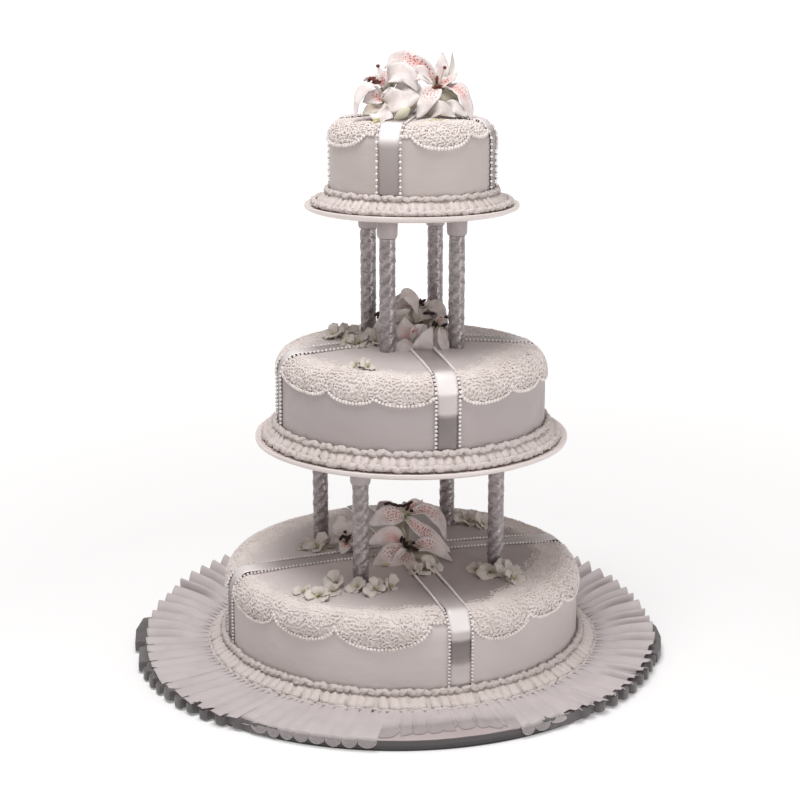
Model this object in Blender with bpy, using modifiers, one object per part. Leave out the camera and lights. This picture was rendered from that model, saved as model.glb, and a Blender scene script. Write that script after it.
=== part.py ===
"""A wedding cake of three iced tiers on twisted pillars, with its plates, cake board and pleated frill.

Lengths are in metres, +Z is up, and the board stands on Z = 0 with its middle at the origin.
A turn is an angle in degrees seen from above, from the front (-Y) towards the right (+X).
"""

import math
from dataclasses import dataclass

import bmesh
import bpy
from mathutils import Matrix, Vector

GAP = 0.0003  # left between pieces that touch

# Board and plates
BOARD_RADIUS = 0.268
BOARD_HEIGHT = 0.012
BOARD_BEVEL = 0.0015
PLATE_THICKNESS = 0.005
PLATE_LIP = 0.0015  # how far the rim of a plate stands up
PLATE_RIM = 0.004  # width of that rim
PLATE_UNDERCUT = 0.003
MIDDLE_PLATE_RADIUS = 0.1665
TOP_PLATE_RADIUS = 0.112
SOCKET_RADIUS = 0.0105
SOCKET_HEIGHT = 0.0235
SOCKET_SIDES = 10
ROUND_STEPS = 36  # sides of the large turned pieces

# Pillars
PILLAR_RADIUS = 0.009
PILLAR_GROOVE = 0.0014
PILLAR_LOBES = 4
PILLAR_BANDS = 8
PILLAR_TWIST = 250.0
PILLAR_TURNS = (0, 90, 180, 270)

# Icing
EDGE_RADIUS = 0.020  # the rounding at the top edge of each tier
BORDER_HEIGHT = 0.020
ROPE_RADIUS = 0.0042
LACE_THICKNESS = 0.0016
LACE_HEM = 0.002  # how far the lace hangs between two scallops
LACE_SPAN = 80  # most degrees that one collar covers

# Ribbons
RIBBON_WIDTH = 0.022
RIBBON_THICKNESS = 0.0008
RIBBON_CLEAR = 0.0165  # from a ribbon's middle line to the lace beside it

# Frill
FRILL_PLEATS = 30
FRILL_THICKNESS = 0.0012
FRILL_INNER = 0.2185  # from the middle of the bottom tier
FRILL_OUTER = 0.270
FRILL_OUTER_WAVE = 0.0025  # half the depth of a pleat at the outer edge
FRILL_INNER_WAVE = 0.0005
FRILL_FRONT_LIFT = 0.0035  # of the outer edge, over the board
FRILL_BACK_LIFT = 0.0215
SKIRT_SIDE_RADIUS = 0.283
SKIRT_BACK_RADIUS = 0.270
SKIRT_HEIGHT = 0.006
SKIRT_WAVE = 0.0022
SKIRT_TURNS = (42, 335)


@dataclass(frozen=True)
class Tier:
    """One iced cake: where it stands, its size, and what is laid out on it."""

    name: str
    centre_x: float
    base: float
    radius: float
    height: float  # from the base to the middle of its top
    crown: float  # how much the middle stands above the start of the rounded edge
    ribbon_turn: float
    border_flare: float  # how far the piped border reaches out from the wall
    shells: int
    scallops: tuple  # depth of each lace scallop down the wall, from ribbon to ribbon
    lace_inner: float  # where the lace starts, as a part of the way out to the rounded edge
    lace_turns: int  # steps along each lace collar

    @property
    def top(self):
        return self.base + self.height

    @property
    def crown_radius(self):
        """Where the crown meets the rounded edge."""
        return self.radius - EDGE_RADIUS + EDGE_RADIUS * math.sin(self.crown_slope)

    @property
    def crown_slope(self):
        return math.atan(2 * self.crown / (self.radius - EDGE_RADIUS))

    @property
    def edge_centre(self):
        """Height of the centre of the rounded edge's arc."""
        return self.top - self.crown - EDGE_RADIUS * math.cos(self.crown_slope)

    def surface(self, radius):
        """Height of the top at this distance from the middle."""
        if radius <= self.crown_radius:
            return self.top - self.crown * (radius / self.crown_radius) ** 2
        out = min(radius - self.radius + EDGE_RADIUS, EDGE_RADIUS)
        return self.edge_centre + math.sqrt(EDGE_RADIUS**2 - out**2)

    def skin(self, way):
        """(radius, height) and outward normal on the icing: way runs 0 to 1 over the crown,
        1 to 2 round the edge and 2 to 3 down the wall. A negative way is across the middle."""
        side = -1 if way < 0 else 1
        way = abs(way)
        if way <= 1:
            radius = way * self.crown_radius
            slope = self.crown_slope * way
            height = self.top - self.crown * way**2
        elif way <= 2:
            slope = self.crown_slope + (math.pi / 2 - self.crown_slope) * (way - 1)
            radius = self.radius - EDGE_RADIUS + EDGE_RADIUS * math.sin(slope)
            height = self.edge_centre + EDGE_RADIUS * math.cos(slope)
        else:
            slope = math.pi / 2
            radius = self.radius
            height = self.edge_centre + (self.base - self.edge_centre) * (way - 2)
        return Vector((side * radius, height)), Vector((side * math.sin(slope), math.cos(slope)))

    def way_down(self, depth):
        """The way that lies this far below the rounded edge."""
        return 2 + depth / (self.edge_centre - self.base)


MIDDLE_PLATE = 0.236  # heights of the undersides of the plates
TOP_PLATE = 0.482

BOTTOM = Tier("bottom", 0.006, BOARD_HEIGHT, 0.190, 0.097, 0.006, 17.6, 0.024, 26,
              (0.010, 0.016, 0.022), 0.70, 6)
MIDDLE = Tier("middle", 0.0155, MIDDLE_PLATE + PLATE_THICKNESS, 0.142, 0.101, 0.008, 14.3, 0.0195, 24,
              (0.006, 0.012, 0.016), 0.64, 6)
TOP = Tier("top", 0.016, TOP_PLATE + PLATE_THICKNESS, 0.0855, 0.094, 0.006, -16.0, 0.021, 20,
           (0.016, 0.006), 0.58, 4)
TIERS = (BOTTOM, MIDDLE, TOP)


@dataclass(frozen=True)
class Stage:
    """A ring of four pillars between a tier and the plate above it."""

    name: str
    centre_x: float
    ring_radius: float
    first_turn: float
    tier: Tier
    plate: float


LOWER = Stage("lower", 0.010, 0.1055, -26.4, BOTTOM, MIDDLE_PLATE)
UPPER = Stage("upper", 0.016, 0.0528, -28.8, MIDDLE, TOP_PLATE)

# Lilies: tier, number, middle of the base (from the tier's middle, and above its top),
# the way the flower faces, length of the trumpet, reach of the petals
LILIES = (
    (TOP, 1, (0.008, -0.010, 0.004), (0.75, -0.30, 1.00), 0.046, 0.040),
    (TOP, 2, (-0.004, 0.012, 0.004), (-0.35, 0.60, 1.00), 0.044, 0.036),
    (TOP, 3, (-0.014, -0.008, 0.005), (-0.90, -0.60, 0.85), 0.032, 0.030),
    (MIDDLE, 1, (-0.002, 0.010, 0.004), (-0.10, 0.20, 1.00), 0.040, 0.030),
    (MIDDLE, 2, (0.012, 0.002, 0.005), (1.00, 0.20, 1.10), 0.024, 0.024),
    (MIDDLE, 3, (0.002, -0.012, 0.005), (0.25, -1.00, 0.90), 0.026, 0.026),
    (BOTTOM, 1, (0.000, 0.012, 0.004), (0.10, 0.15, 1.00), 0.046, 0.048),
    (BOTTOM, 2, (0.006, -0.016, 0.005), (0.35, -1.00, 0.90), 0.030, 0.032),
    (BOTTOM, 3, (-0.018, -0.004, 0.006), (-1.00, -0.25, 0.90), 0.030, 0.032),
)
PETAL_THICKNESS = 0.0016
TRUMPET_FOOT = 0.003  # radius where the flower meets its stem
TRUMPET_WAIST = 0.007
PETAL_SHOULDER = 0.55  # how far out the petals start to turn over, as a part of their reach
PETAL_DROOP = 0.92  # height of their tips, as a part of the flower's length
THROAT_RADIUS = 0.004
THROAT_FLOOR = 0.6  # how far up the flower its hollow starts

# Blossoms: tier, turn and distance from the tier's middle, how far it is turned on itself,
# and what it lies on
BLOSSOMS = (
    (MIDDLE, 296, 0.092, 10, "lace"),
    (MIDDLE, 313, 0.098, 40, "lace"),
    (MIDDLE, 287, 0.060, 25, "ribbon"),
    (MIDDLE, 350, 0.079, 5, "lace"),
    (BOTTOM, 347, 0.123, 15, "lace"),
    (BOTTOM, 53, 0.123, 30, "lace"),
    (BOTTOM, 271, 0.094, 0, "icing"),
    (BOTTOM, 143, 0.126, 20, "lace"),
    (BOTTOM, 326, 0.125, 50, "lace"),
    (BOTTOM, 17, 0.073, 35, "ribbon"),
)
BLOSSOM_RADIUS = 0.013
BLOSSOM_HEIGHT = 0.008
BLOSSOM_FOOT = 0.004
BUD_PLACE = (349, 0.055)  # turn and distance from the middle of the top tier
BUD_SIZE = Vector((0.009, 0.006, 0.006))  # half its length, width and height
PETAL_ROOT = 0.36  # how far out the notch between two petals lies

COLORS = {
    "icing": ((0.83, 0.79, 0.78), 0.55, 0.0),
    "piping": ((0.86, 0.83, 0.80), 0.60, 0.0),
    "satin": ((0.80, 0.77, 0.79), 0.30, 0.0),
    "pillar": ((0.62, 0.60, 0.62), 0.25, 0.0),
    "plate": ((0.84, 0.82, 0.82), 0.35, 0.0),
    "board": ((0.80, 0.78, 0.78), 0.45, 0.0),
    "frill": ((0.80, 0.76, 0.77), 0.70, 0.0),
    "skirt": ((0.30, 0.29, 0.30), 0.60, 0.0),
    "lily": ((0.88, 0.74, 0.72), 0.60, 0.0),
    "blossom": ((0.88, 0.86, 0.78), 0.60, 0.0),
}


def clear_scene():
    for obj in list(bpy.data.objects):
        bpy.data.objects.remove(obj, do_unlink=True)


def make_collection(name):
    collection = bpy.data.collections.new(name)
    bpy.context.scene.collection.children.link(collection)
    return collection


def make_material(name, look):
    color, roughness, metallic = COLORS[look]
    material = bpy.data.materials.new(name)
    material.use_nodes = True
    shader = material.node_tree.nodes["Principled BSDF"]
    shader.inputs["Base Color"].default_value = (*color, 1)
    shader.inputs["Roughness"].default_value = roughness
    shader.inputs["Metallic"].default_value = metallic
    return material


def add_object(name, mesh, look, collection):
    """Puts the mesh in the scene as one named piece with a material of its own."""
    mesh.materials.append(make_material(name, look))
    mesh.shade_smooth()
    mesh.set_sharp_from_angle(angle=math.radians(40))
    obj = bpy.data.objects.new(name, mesh)
    collection.objects.link(obj)
    return obj


def loft(name, sections, closed=False, thin=False):
    """A solid through rings of matching points: its ends are capped, or joined when it runs round.
    A thin one has its lower side in the first half of each ring and its upper side in the second,
    and both sides are split into triangles along the same lines, so that they never cross."""
    cage = bmesh.new()
    rings = [[cage.verts.new(point) for point in section] for section in sections]
    pairs = list(zip(rings, rings[1:]))
    if closed:
        pairs.append((rings[-1], rings[0]))
    else:
        cage.faces.new(list(reversed(rings[0])))
        cage.faces.new(rings[-1])
    for ring, following in pairs:
        for index in range(len(ring)):
            after = (index + 1) % len(ring)
            corners = [ring[index], ring[after], following[after], following[index]]
            if not thin:
                cage.faces.new(corners)
                continue
            if after >= len(ring) // 2 and after != 0:
                corners = corners[1:] + corners[:1]
            cage.faces.new(corners[:3])
            cage.faces.new(corners[2:] + corners[:1])
    bmesh.ops.recalc_face_normals(cage, faces=cage.faces)
    mesh = bpy.data.meshes.new(name)
    cage.to_mesh(mesh)
    cage.free()
    return mesh


def turned(name, profile, centre_x, look, collection):
    """A profile of (radius, height) from the middle of the top to the middle of the bottom, turned."""
    cage = bmesh.new()
    points = [cage.verts.new((radius, 0, height)) for radius, height in profile]
    for first, second in zip(points, points[1:]):
        cage.edges.new((first, second))
    mesh = bpy.data.meshes.new(name)
    cage.to_mesh(mesh)
    cage.free()
    obj = add_object(name, mesh, look, collection)
    obj.location.x = centre_x
    screw = obj.modifiers.new("Turn", "SCREW")
    screw.steps = screw.render_steps = ROUND_STEPS
    screw.use_merge_vertices = True
    screw.merge_threshold = 0.0001
    screw.use_smooth_shade = True
    return obj


def around(turn, radius):
    """The point at this turn and distance from the middle, as (x, y)."""
    angle = math.radians(turn)
    return Vector((radius * math.sin(angle), -radius * math.cos(angle)))


def clear_of_chords(radius, steps):
    """The radius at which a ring of straight sides stays GAP outside a circle of this radius."""
    return (radius + GAP) / math.cos(math.pi / steps)


def add_board(collection):
    edge = BOARD_RADIUS - BOARD_BEVEL
    profile = ((0, BOARD_HEIGHT), (edge, BOARD_HEIGHT), (BOARD_RADIUS, BOARD_HEIGHT - BOARD_BEVEL),
               (BOARD_RADIUS, 0), (0, 0))
    turned("board", profile, 0, "board", collection)


def add_cake(tier, collection):
    """A round cake under smooth icing, with a slightly domed top and a rounded edge."""
    ways = (0, 0.55, 1, 1.5, 2, 3)
    profile = [tuple(tier.skin(way)[0]) for way in ways]
    profile[-1] = (tier.radius, tier.base + GAP)
    profile.append((0, tier.base + GAP))
    turned(f"cake_{tier.name}", profile, tier.centre_x, "icing", collection)


def pillar_places(stage):
    for number, turn in enumerate(PILLAR_TURNS, 1):
        place = around(stage.first_turn + turn, stage.ring_radius)
        yield number, place + Vector((stage.centre_x, 0))


def add_plate(tier, stage, radius, collection, cutters):
    """A round plate with a raised lip, and a socket under it for each pillar."""
    under = stage.plate
    upper = under + PLATE_THICKNESS
    profile = ((0, upper), (radius - PLATE_RIM, upper), (radius - PLATE_RIM / 4, upper + PLATE_LIP),
               (radius, upper), (radius - PLATE_UNDERCUT, under), (0, under))
    plate = turned(f"plate_{tier.name}", profile, tier.centre_x, "plate", collection)
    for number, place in pillar_places(stage):
        bpy.ops.mesh.primitive_cylinder_add(
            vertices=SOCKET_SIDES,
            radius=SOCKET_RADIUS,
            depth=SOCKET_HEIGHT + PLATE_THICKNESS / 2,
            location=(place.x, place.y, under - SOCKET_HEIGHT / 2 + PLATE_THICKNESS / 4),
        )
        socket = bpy.context.object
        socket.name = f"socket_{tier.name}_{number}"
        socket.display_type = "WIRE"
        socket.hide_render = True
        for owner in socket.users_collection:
            owner.objects.unlink(socket)
        cutters.objects.link(socket)
        union = plate.modifiers.new(socket.name, "BOOLEAN")
        union.operation = "UNION"
        union.object = socket


def add_pillars(stage, collection):
    """Four columns with twisted flutes, from the icing up to the sockets."""
    for number, place in pillar_places(stage):
        from_tier = (place - Vector((stage.tier.centre_x, 0))).length
        foot = stage.tier.surface(from_tier - PILLAR_RADIUS) + GAP
        head = stage.plate - SOCKET_HEIGHT - GAP
        sections = []
        for band in range(PILLAR_BANDS + 1):
            height = foot + (head - foot) * band / PILLAR_BANDS
            section = []
            for corner in range(2 * PILLAR_LOBES):
                radius = PILLAR_RADIUS - PILLAR_GROOVE * (corner % 2)
                turn = 180 * corner / PILLAR_LOBES + PILLAR_TWIST * band / PILLAR_BANDS
                section.append((*(place + around(turn, radius)), height))
            sections.append(section)
        name = f"pillar_{stage.name}_{number}"
        add_object(name, loft(name, sections), "pillar", collection)


def add_border(tier, collection):
    """The piped border at a tier's foot: a rope of shells, sloping flutes and a lower rope."""
    steps = 2 * tier.shells
    wall = clear_of_chords(tier.radius, steps)
    floor = tier.base + GAP
    reach = tier.radius + tier.border_flare
    profile = (
        (wall, BORDER_HEIGHT, 0.0),
        (tier.radius + 2 * ROPE_RADIUS, BORDER_HEIGHT - ROPE_RADIUS, 0.0010),
        (tier.radius + 2.2 * ROPE_RADIUS, BORDER_HEIGHT - 3 * ROPE_RADIUS, 0.0010),
        (reach, ROPE_RADIUS, 0.0012),
        (reach - ROPE_RADIUS, 0.0, 0.0),
        (wall, 0.0, 0.0),
    )
    sections = []
    for step in range(steps):
        section = []
        for radius, height, wave in profile:
            place = around(360 * step / steps, radius + wave * (-1) ** step)
            section.append((place.x + tier.centre_x, place.y, floor + height))
        sections.append(section)
    name = f"border_{tier.name}"
    add_object(name, loft(name, sections, closed=True), "piping", collection)


def add_ribbons(tier, collection):
    """Two satin bands that cross on the top and hang down to the border, the second over the first."""
    foot = tier.way_down(tier.edge_centre - tier.base - BORDER_HEIGHT - 2 * GAP)
    crossing = RIBBON_WIDTH / 2 / tier.crown_radius
    half = (foot, 2, 1.5, 1, 0.6, 2 * crossing, 1.1 * crossing)
    ways = [-way for way in half] + list(reversed(half))
    for number in (1, 2):
        angle = tier.ribbon_turn + 90 * (number - 1)
        along = around(angle, 1)
        across = around(angle + 90, RIBBON_WIDTH / 2)
        sections = []
        for way in ways:
            point, normal = tier.skin(way)
            over = number == 2 and abs(way) < 1.5 * crossing
            inner = GAP + (RIBBON_THICKNESS + GAP if over else 0)
            section = []
            for side, lift in ((-1, inner), (1, inner), (1, inner + RIBBON_THICKNESS),
                               (-1, inner + RIBBON_THICKNESS)):
                radius, height = point + normal * lift
                place = along * radius + across * side
                section.append((place.x + tier.centre_x, place.y, height))
            sections.append(section)
        name = f"ribbon_{tier.name}_{number}"
        add_object(name, loft(name, sections, thin=True), "satin", collection)


def lace_edge(tier, part):
    """How far down the wall the lace hangs, at this part of the way from one ribbon to the next."""
    scallop = min(int(part * len(tier.scallops)), len(tier.scallops) - 1)
    phase = part * len(tier.scallops) - scallop
    return LACE_HEM + tier.scallops[scallop] * math.sin(math.pi * phase)


def lace_lift(tier):
    """How far a collar's underside stays off the icing, so that its straight steps clear the curve."""
    step_angle = math.radians(LACE_SPAN / tier.lace_turns)
    return GAP + tier.radius * (1 - math.cos(step_angle / 2))


def add_lace(tier, collection):
    """Four collars of openwork piping, one between each two ribbons, scalloped over the edge."""
    inner = lace_lift(tier)
    for number in range(4):
        start = tier.ribbon_turn + 90 * number
        sections = []
        for step in range(tier.lace_turns + 1):
            part = step / tier.lace_turns
            depth = lace_edge(tier, part)
            under, over = [], []
            for way in (tier.lace_inner, 1, 1.5, 2, tier.way_down(depth)):
                point, normal = tier.skin(way)
                clear = math.degrees(math.asin(RIBBON_CLEAR / point.x))
                turn = start + clear + (90 - 2 * clear) * part
                for lift, row in ((inner, under), (inner + LACE_THICKNESS, over)):
                    radius, height = point + normal * lift
                    place = around(turn, radius)
                    row.append((place.x + tier.centre_x, place.y, height))
            sections.append(under + list(reversed(over)))
        name = f"lace_{tier.name}_{number + 1}"
        add_object(name, loft(name, sections, thin=True), "piping", collection)


def add_frill(collection):
    """A pleated ring on the board, its outer edge lifting from the front to the back."""
    steps = 2 * FRILL_PLEATS
    sections = []
    for step in range(steps):
        turn = 360 * step / steps
        pleat = (-1) ** step
        back = (1 - math.cos(math.radians(turn))) / 2
        lift = FRILL_FRONT_LIFT + (FRILL_BACK_LIFT - FRILL_FRONT_LIFT) * back
        inner = around(turn, FRILL_INNER)
        outer = around(turn, FRILL_OUTER)
        inner_height = BOARD_HEIGHT + GAP + FRILL_INNER_WAVE * (1 + pleat)
        outer_height = BOARD_HEIGHT + lift + FRILL_OUTER_WAVE * pleat
        sections.append((
            (inner.x + BOTTOM.centre_x, inner.y, inner_height),
            (outer.x, outer.y, outer_height),
            (outer.x, outer.y, outer_height + FRILL_THICKNESS),
            (inner.x + BOTTOM.centre_x, inner.y, inner_height + FRILL_THICKNESS),
        ))
    mesh = loft("frill_upper", sections, closed=True, thin=True)
    add_object("frill_upper", mesh, "frill", collection)


def add_skirt(collection):
    """A second, darker pleated strip round the board's edge, open at the front and widest at the sides."""
    first, last = SKIRT_TURNS
    steps = round(2 * FRILL_PLEATS * (last - first) / 360)
    wall = clear_of_chords(BOARD_RADIUS, steps)
    sections = []
    for step in range(steps + 1):
        turn = first + (last - first) * step / steps
        side = math.sin(math.radians(turn)) ** 2
        reach = SKIRT_BACK_RADIUS + (SKIRT_SIDE_RADIUS - SKIRT_BACK_RADIUS) * side
        under = SKIRT_HEIGHT + SKIRT_WAVE * (-1) ** step
        inner = around(turn, wall)
        outer = around(turn, reach)
        sections.append((
            (*inner, under),
            (*outer, under),
            (*outer, under + FRILL_THICKNESS),
            (*inner, under + FRILL_THICKNESS),
        ))
    mesh = loft("frill_lower", sections, thin=True)
    add_object("frill_lower", mesh, "skirt", collection)


def flower(petals, rows, around_petal):
    """Rings of a flower with its axis on +Z. A row is (radius, height, share): share 0 gives a circle,
    and 1 the full outline, whose points are in around_petal."""
    sections = []
    for radius, height, share in rows:
        section = []
        for petal in range(petals):
            for index, reach in enumerate(around_petal):
                turn = 360 / petals * (petal + index / len(around_petal))
                size = radius * (1 + share * (reach - 1))
                section.append((*around(turn, size), height))
        sections.append(section)
    return sections


def add_lilies(collection):
    """Six pointed petals that open from a trumpet, each flower facing its own way."""
    for tier, number, base, facing, length, reach in LILIES:
        rows = (
            (TRUMPET_FOOT, 0.0, 0),
            (TRUMPET_WAIST, 0.45 * length, 0),
            (PETAL_SHOULDER * reach, length - PETAL_THICKNESS, 0.8),
            (reach, PETAL_DROOP * length, 1),
            (PETAL_SHOULDER * reach, length, 0.8),
            (THROAT_RADIUS, THROAT_FLOOR * length, 0),
        )
        name = f"lily_{tier.name}_{number}"
        mesh = loft(name, flower(6, rows, (1, PETAL_ROOT)))
        rotation = Vector((0, 0, 1)).rotation_difference(Vector(facing)).to_matrix().to_4x4()
        place = Vector(base) + Vector((tier.centre_x, 0, tier.top))
        mesh.transform(Matrix.Translation(place) @ rotation)
        add_object(name, mesh, "lily", collection)


def add_blossoms(collection):
    """Small open blossoms of five petals, flat on the icing."""
    numbers = {}
    for tier, turn, distance, own_turn, bed in BLOSSOMS:
        numbers[tier.name] = numbers.get(tier.name, 0) + 1
        rows = (
            (BLOSSOM_FOOT, 0.0, 0),
            (BLOSSOM_RADIUS, 0.7 * BLOSSOM_HEIGHT, 1),
            (0.6 * BLOSSOM_RADIUS, BLOSSOM_HEIGHT, 0.7),
        )
        name = f"blossom_{tier.name}_{numbers[tier.name]}"
        mesh = loft(name, flower(5, rows, (1, PETAL_ROOT + 0.2)))
        place = around(turn, distance)
        cover = {"icing": 0, "ribbon": RIBBON_THICKNESS + GAP, "lace": lace_lift(tier) + LACE_THICKNESS}
        height = tier.surface(distance - BLOSSOM_RADIUS) + cover[bed] + GAP
        mesh.transform(
            Matrix.Translation((place.x + tier.centre_x, place.y, height))
            @ Matrix.Rotation(math.radians(own_turn), 4, "Z")
        )
        add_object(name, mesh, "blossom", collection)


def add_bud(collection):
    """A closed white bud lying at the front of the top tier."""
    bpy.ops.mesh.primitive_uv_sphere_add(segments=8, ring_count=6, radius=1)
    bud = bpy.context.object
    mesh = bud.data
    bpy.data.objects.remove(bud, do_unlink=True)
    turn, distance = BUD_PLACE
    place = around(turn, distance)
    height = TOP.surface(distance - BUD_SIZE.y) + GAP + BUD_SIZE.z
    size = Matrix.Diagonal((*BUD_SIZE, 1))
    mesh.transform(Matrix.Translation((place.x + TOP.centre_x, place.y, height)) @ size)
    mesh.name = "bud_top"
    add_object("bud_top", mesh, "blossom", collection)


def main():
    clear_scene()
    cake = make_collection("Tiered wedding cake")
    cutters = make_collection("Cutters")
    add_board(cake)
    add_frill(cake)
    add_skirt(cake)
    add_plate(MIDDLE, LOWER, MIDDLE_PLATE_RADIUS, cake, cutters)
    add_plate(TOP, UPPER, TOP_PLATE_RADIUS, cake, cutters)
    for stage in (LOWER, UPPER):
        add_pillars(stage, cake)
    for tier in TIERS:
        add_cake(tier, cake)
        add_border(tier, cake)
        add_ribbons(tier, cake)
        add_lace(tier, cake)
    add_lilies(cake)
    add_blossoms(cake)
    add_bud(cake)


main()
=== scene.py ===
"""The looks of the tiered wedding cake: icing, piping, ribbons, pearls, pillars, frill and sugar flowers.

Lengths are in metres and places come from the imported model. A turn is an angle in degrees seen from
above, from the front (-Y) towards the right (+X). A way on a tier runs 0 to 1 over its crown, 1 to 2
round its edge and 2 to 3 down its wall.
"""

import math
import random

import bmesh
import bpy
import numpy as np
from mathutils import Matrix, Vector, geometry, noise


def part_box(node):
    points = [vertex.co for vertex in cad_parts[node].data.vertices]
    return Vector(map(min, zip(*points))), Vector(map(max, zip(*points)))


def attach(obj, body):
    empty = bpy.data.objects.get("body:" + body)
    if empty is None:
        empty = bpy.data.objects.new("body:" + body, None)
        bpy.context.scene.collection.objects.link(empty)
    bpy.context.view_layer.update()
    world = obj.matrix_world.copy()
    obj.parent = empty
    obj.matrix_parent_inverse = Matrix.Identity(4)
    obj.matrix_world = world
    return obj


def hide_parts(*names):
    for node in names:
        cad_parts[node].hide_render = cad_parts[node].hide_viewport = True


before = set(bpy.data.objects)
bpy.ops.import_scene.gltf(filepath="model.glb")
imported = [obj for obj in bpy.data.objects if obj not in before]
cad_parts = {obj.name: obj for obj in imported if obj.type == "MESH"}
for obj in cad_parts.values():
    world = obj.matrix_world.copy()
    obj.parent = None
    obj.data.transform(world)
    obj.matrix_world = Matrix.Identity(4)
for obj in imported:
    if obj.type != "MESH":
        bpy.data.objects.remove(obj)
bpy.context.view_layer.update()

MM = 0.001
EDGE_RADIUS = 0.020  # the rounding at the top edge of each tier
UP = Vector((0, 0, 1))


def around(turn, radius, height=0.0):
    """The point at this turn, distance from the middle and height."""
    angle = math.radians(turn)
    return Vector((radius * math.sin(angle), -radius * math.cos(angle), height))


def mix(first, second, share):
    return first + (second - first) * share


def read_off(rows, place):
    """The value at this place, from (place, value) pairs in order."""
    for (start, first), (end, second) in zip(rows, rows[1:]):
        if place <= end:
            return mix(first, second, max(place - start, 0) / (end - start))
    return rows[-1][1]


def smooth(value):
    """0 below 0, 1 above 1 and an even curve between."""
    value = min(max(value, 0.0), 1.0)
    return value * value * (3 - 2 * value)


# ---------------------------------------------------------------- materials


class Look:
    """A Principled material whose colour, roughness and bump come from nodes."""

    def __init__(self, name, color, roughness, **inputs):
        self.material = bpy.data.materials.new(name)
        self.material.use_nodes = True
        self.tree = self.material.node_tree
        self.shader = self.tree.nodes["Principled BSDF"]
        self.color = self.rgb(color)
        self.shader.inputs["Base Color"].default_value = self.color
        self.shader.inputs["Roughness"].default_value = roughness
        for key, value in inputs.items():
            self.shader.inputs[key.replace("_", " ")].default_value = value

    @staticmethod
    def rgb(color):
        """Display values from 0 to 255 as linear colour."""
        return tuple(((c / 255 + 0.055) / 1.055) ** 2.4 for c in color) + (1.0,)

    def node(self, kind, inputs=(), **settings):
        node = self.tree.nodes.new(kind)
        for key, value in settings.items():
            setattr(node, key, value)
        for key, value in dict(inputs).items():
            if isinstance(value, bpy.types.NodeSocket):
                self.tree.links.new(value, node.inputs[key])
            else:
                node.inputs[key].default_value = value
        return node

    def place(self, stretch=(1, 1, 1)):
        """The point in the row's frame, stretched."""
        coords = self.node("ShaderNodeTexCoord").outputs["Object"]
        return self.node("ShaderNodeMapping", {"Vector": coords, "Scale": stretch}).outputs["Vector"]

    def noise(self, scale, detail=2.0, stretch=(1, 1, 1)):
        inputs = {"Vector": self.place(stretch), "Scale": scale, "Detail": detail}
        return self.node("ShaderNodeTexNoise", inputs).outputs["Fac"]

    def spread(self, value, low, high, to_low=0.0, to_high=1.0):
        inputs = {"Value": value, "From Min": low, "From Max": high, "To Min": to_low, "To Max": to_high}
        return self.node("ShaderNodeMapRange", inputs).outputs["Result"]

    def math(self, operation, *values):
        return self.node("ShaderNodeMath", dict(enumerate(values)), operation=operation).outputs[0]

    def times(self, first, *others):
        for other in others:
            first = self.math("MULTIPLY", first, other)
        return first

    def axes(self, vector):
        return self.node("ShaderNodeSeparateXYZ", {0: vector}).outputs

    def attribute(self, name, output="Fac"):
        return self.node("ShaderNodeAttribute", attribute_name=name).outputs[output]

    def set(self, name, value):
        self.tree.links.new(value, self.shader.inputs[name])

    def tint(self, share, color):
        """Mixes this colour over what the base colour is so far."""
        inputs = {0: share, 6: self.color, 7: self.rgb(color)}
        self.color = self.node("ShaderNodeMix", inputs, data_type="RGBA").outputs[2]
        self.set("Base Color", self.color)

    def mottle(self, scale, low, high, color, detail=2):
        """Clouds of a second colour."""
        self.tint(self.spread(self.noise(scale, detail), low, high), color)

    def bump(self, height, distance, strength=1.0):
        inputs = {"Height": height, "Distance": distance, "Strength": strength}
        links = self.shader.inputs["Normal"].links
        if links:
            inputs["Normal"] = links[0].from_socket
        self.set("Normal", self.node("ShaderNodeBump", inputs).outputs["Normal"])


# Plain looks by name: the colour, a second one that mottles it, roughness, the mottle's scale, bounds and
# detail, the bumps' scale, detail, depth and strength, and the finish
PLAIN = {
    "piping": ((213, 202, 199), (206, 195, 189), 0.55, (30, 0.4, 0.75, 2), (560, 3, 0.0012, 0.9), "matt"),
    "bed": ((198, 187, 182), (190, 179, 171), 0.6, (60, 0.4, 0.7, 2), None, "dull"),
    "lace": ((224, 214, 210), (214, 203, 198), 0.55, (60, 0.4, 0.75, 2), (900, 2, 0.0003, 0.5), "matt"),
    # The beads of the scalloped edge: the lace's icing made lighter, a painted highlight where they catch the
    # light
    "scallop": ((236, 228, 224), (214, 203, 198), 0.55, (60, 0.4, 0.75, 2), (900, 2, 0.0003, 0.5), "matt"),
    "pearl": ((242, 235, 232), (232, 224, 221), 0.25, (250, 0.4, 0.6, 1), None, "coated"),
    "plate": ((226, 215, 211), (218, 207, 203), 0.32, (14, 0.4, 0.7, 2), (90, 1, 0.0002, 0.2), "plain"),
    "socket": ((168, 159, 159), (160, 151, 151), 0.4, (60, 0.4, 0.6, 2), None, "plain"),
    "heart": ((196, 192, 150), (182, 176, 124), 0.5, (320, 0.35, 0.65, 2), (700, 2, 0.0002, 0.5), "matt"),
    "dark_anther": ((58, 34, 34), (44, 26, 26), 0.7, (320, 0.35, 0.65, 2), (700, 2, 0.0002, 0.5), "matt"),
    "anther": ((120, 66, 58), (92, 46, 44), 0.7, (320, 0.35, 0.65, 2), (700, 2, 0.0002, 0.5), "matt"),
    "filament": ((196, 188, 168), (176, 168, 140), 0.5, (320, 0.35, 0.65, 2), (700, 2, 0.0002, 0.5), "matt"),
}
FINISHES = {"plain": {}, "matt": {"Specular_IOR_Level": 0.3}, "dull": {"Specular_IOR_Level": 0.2},
            "coated": {"Coat_Weight": 0.4}}


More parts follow.
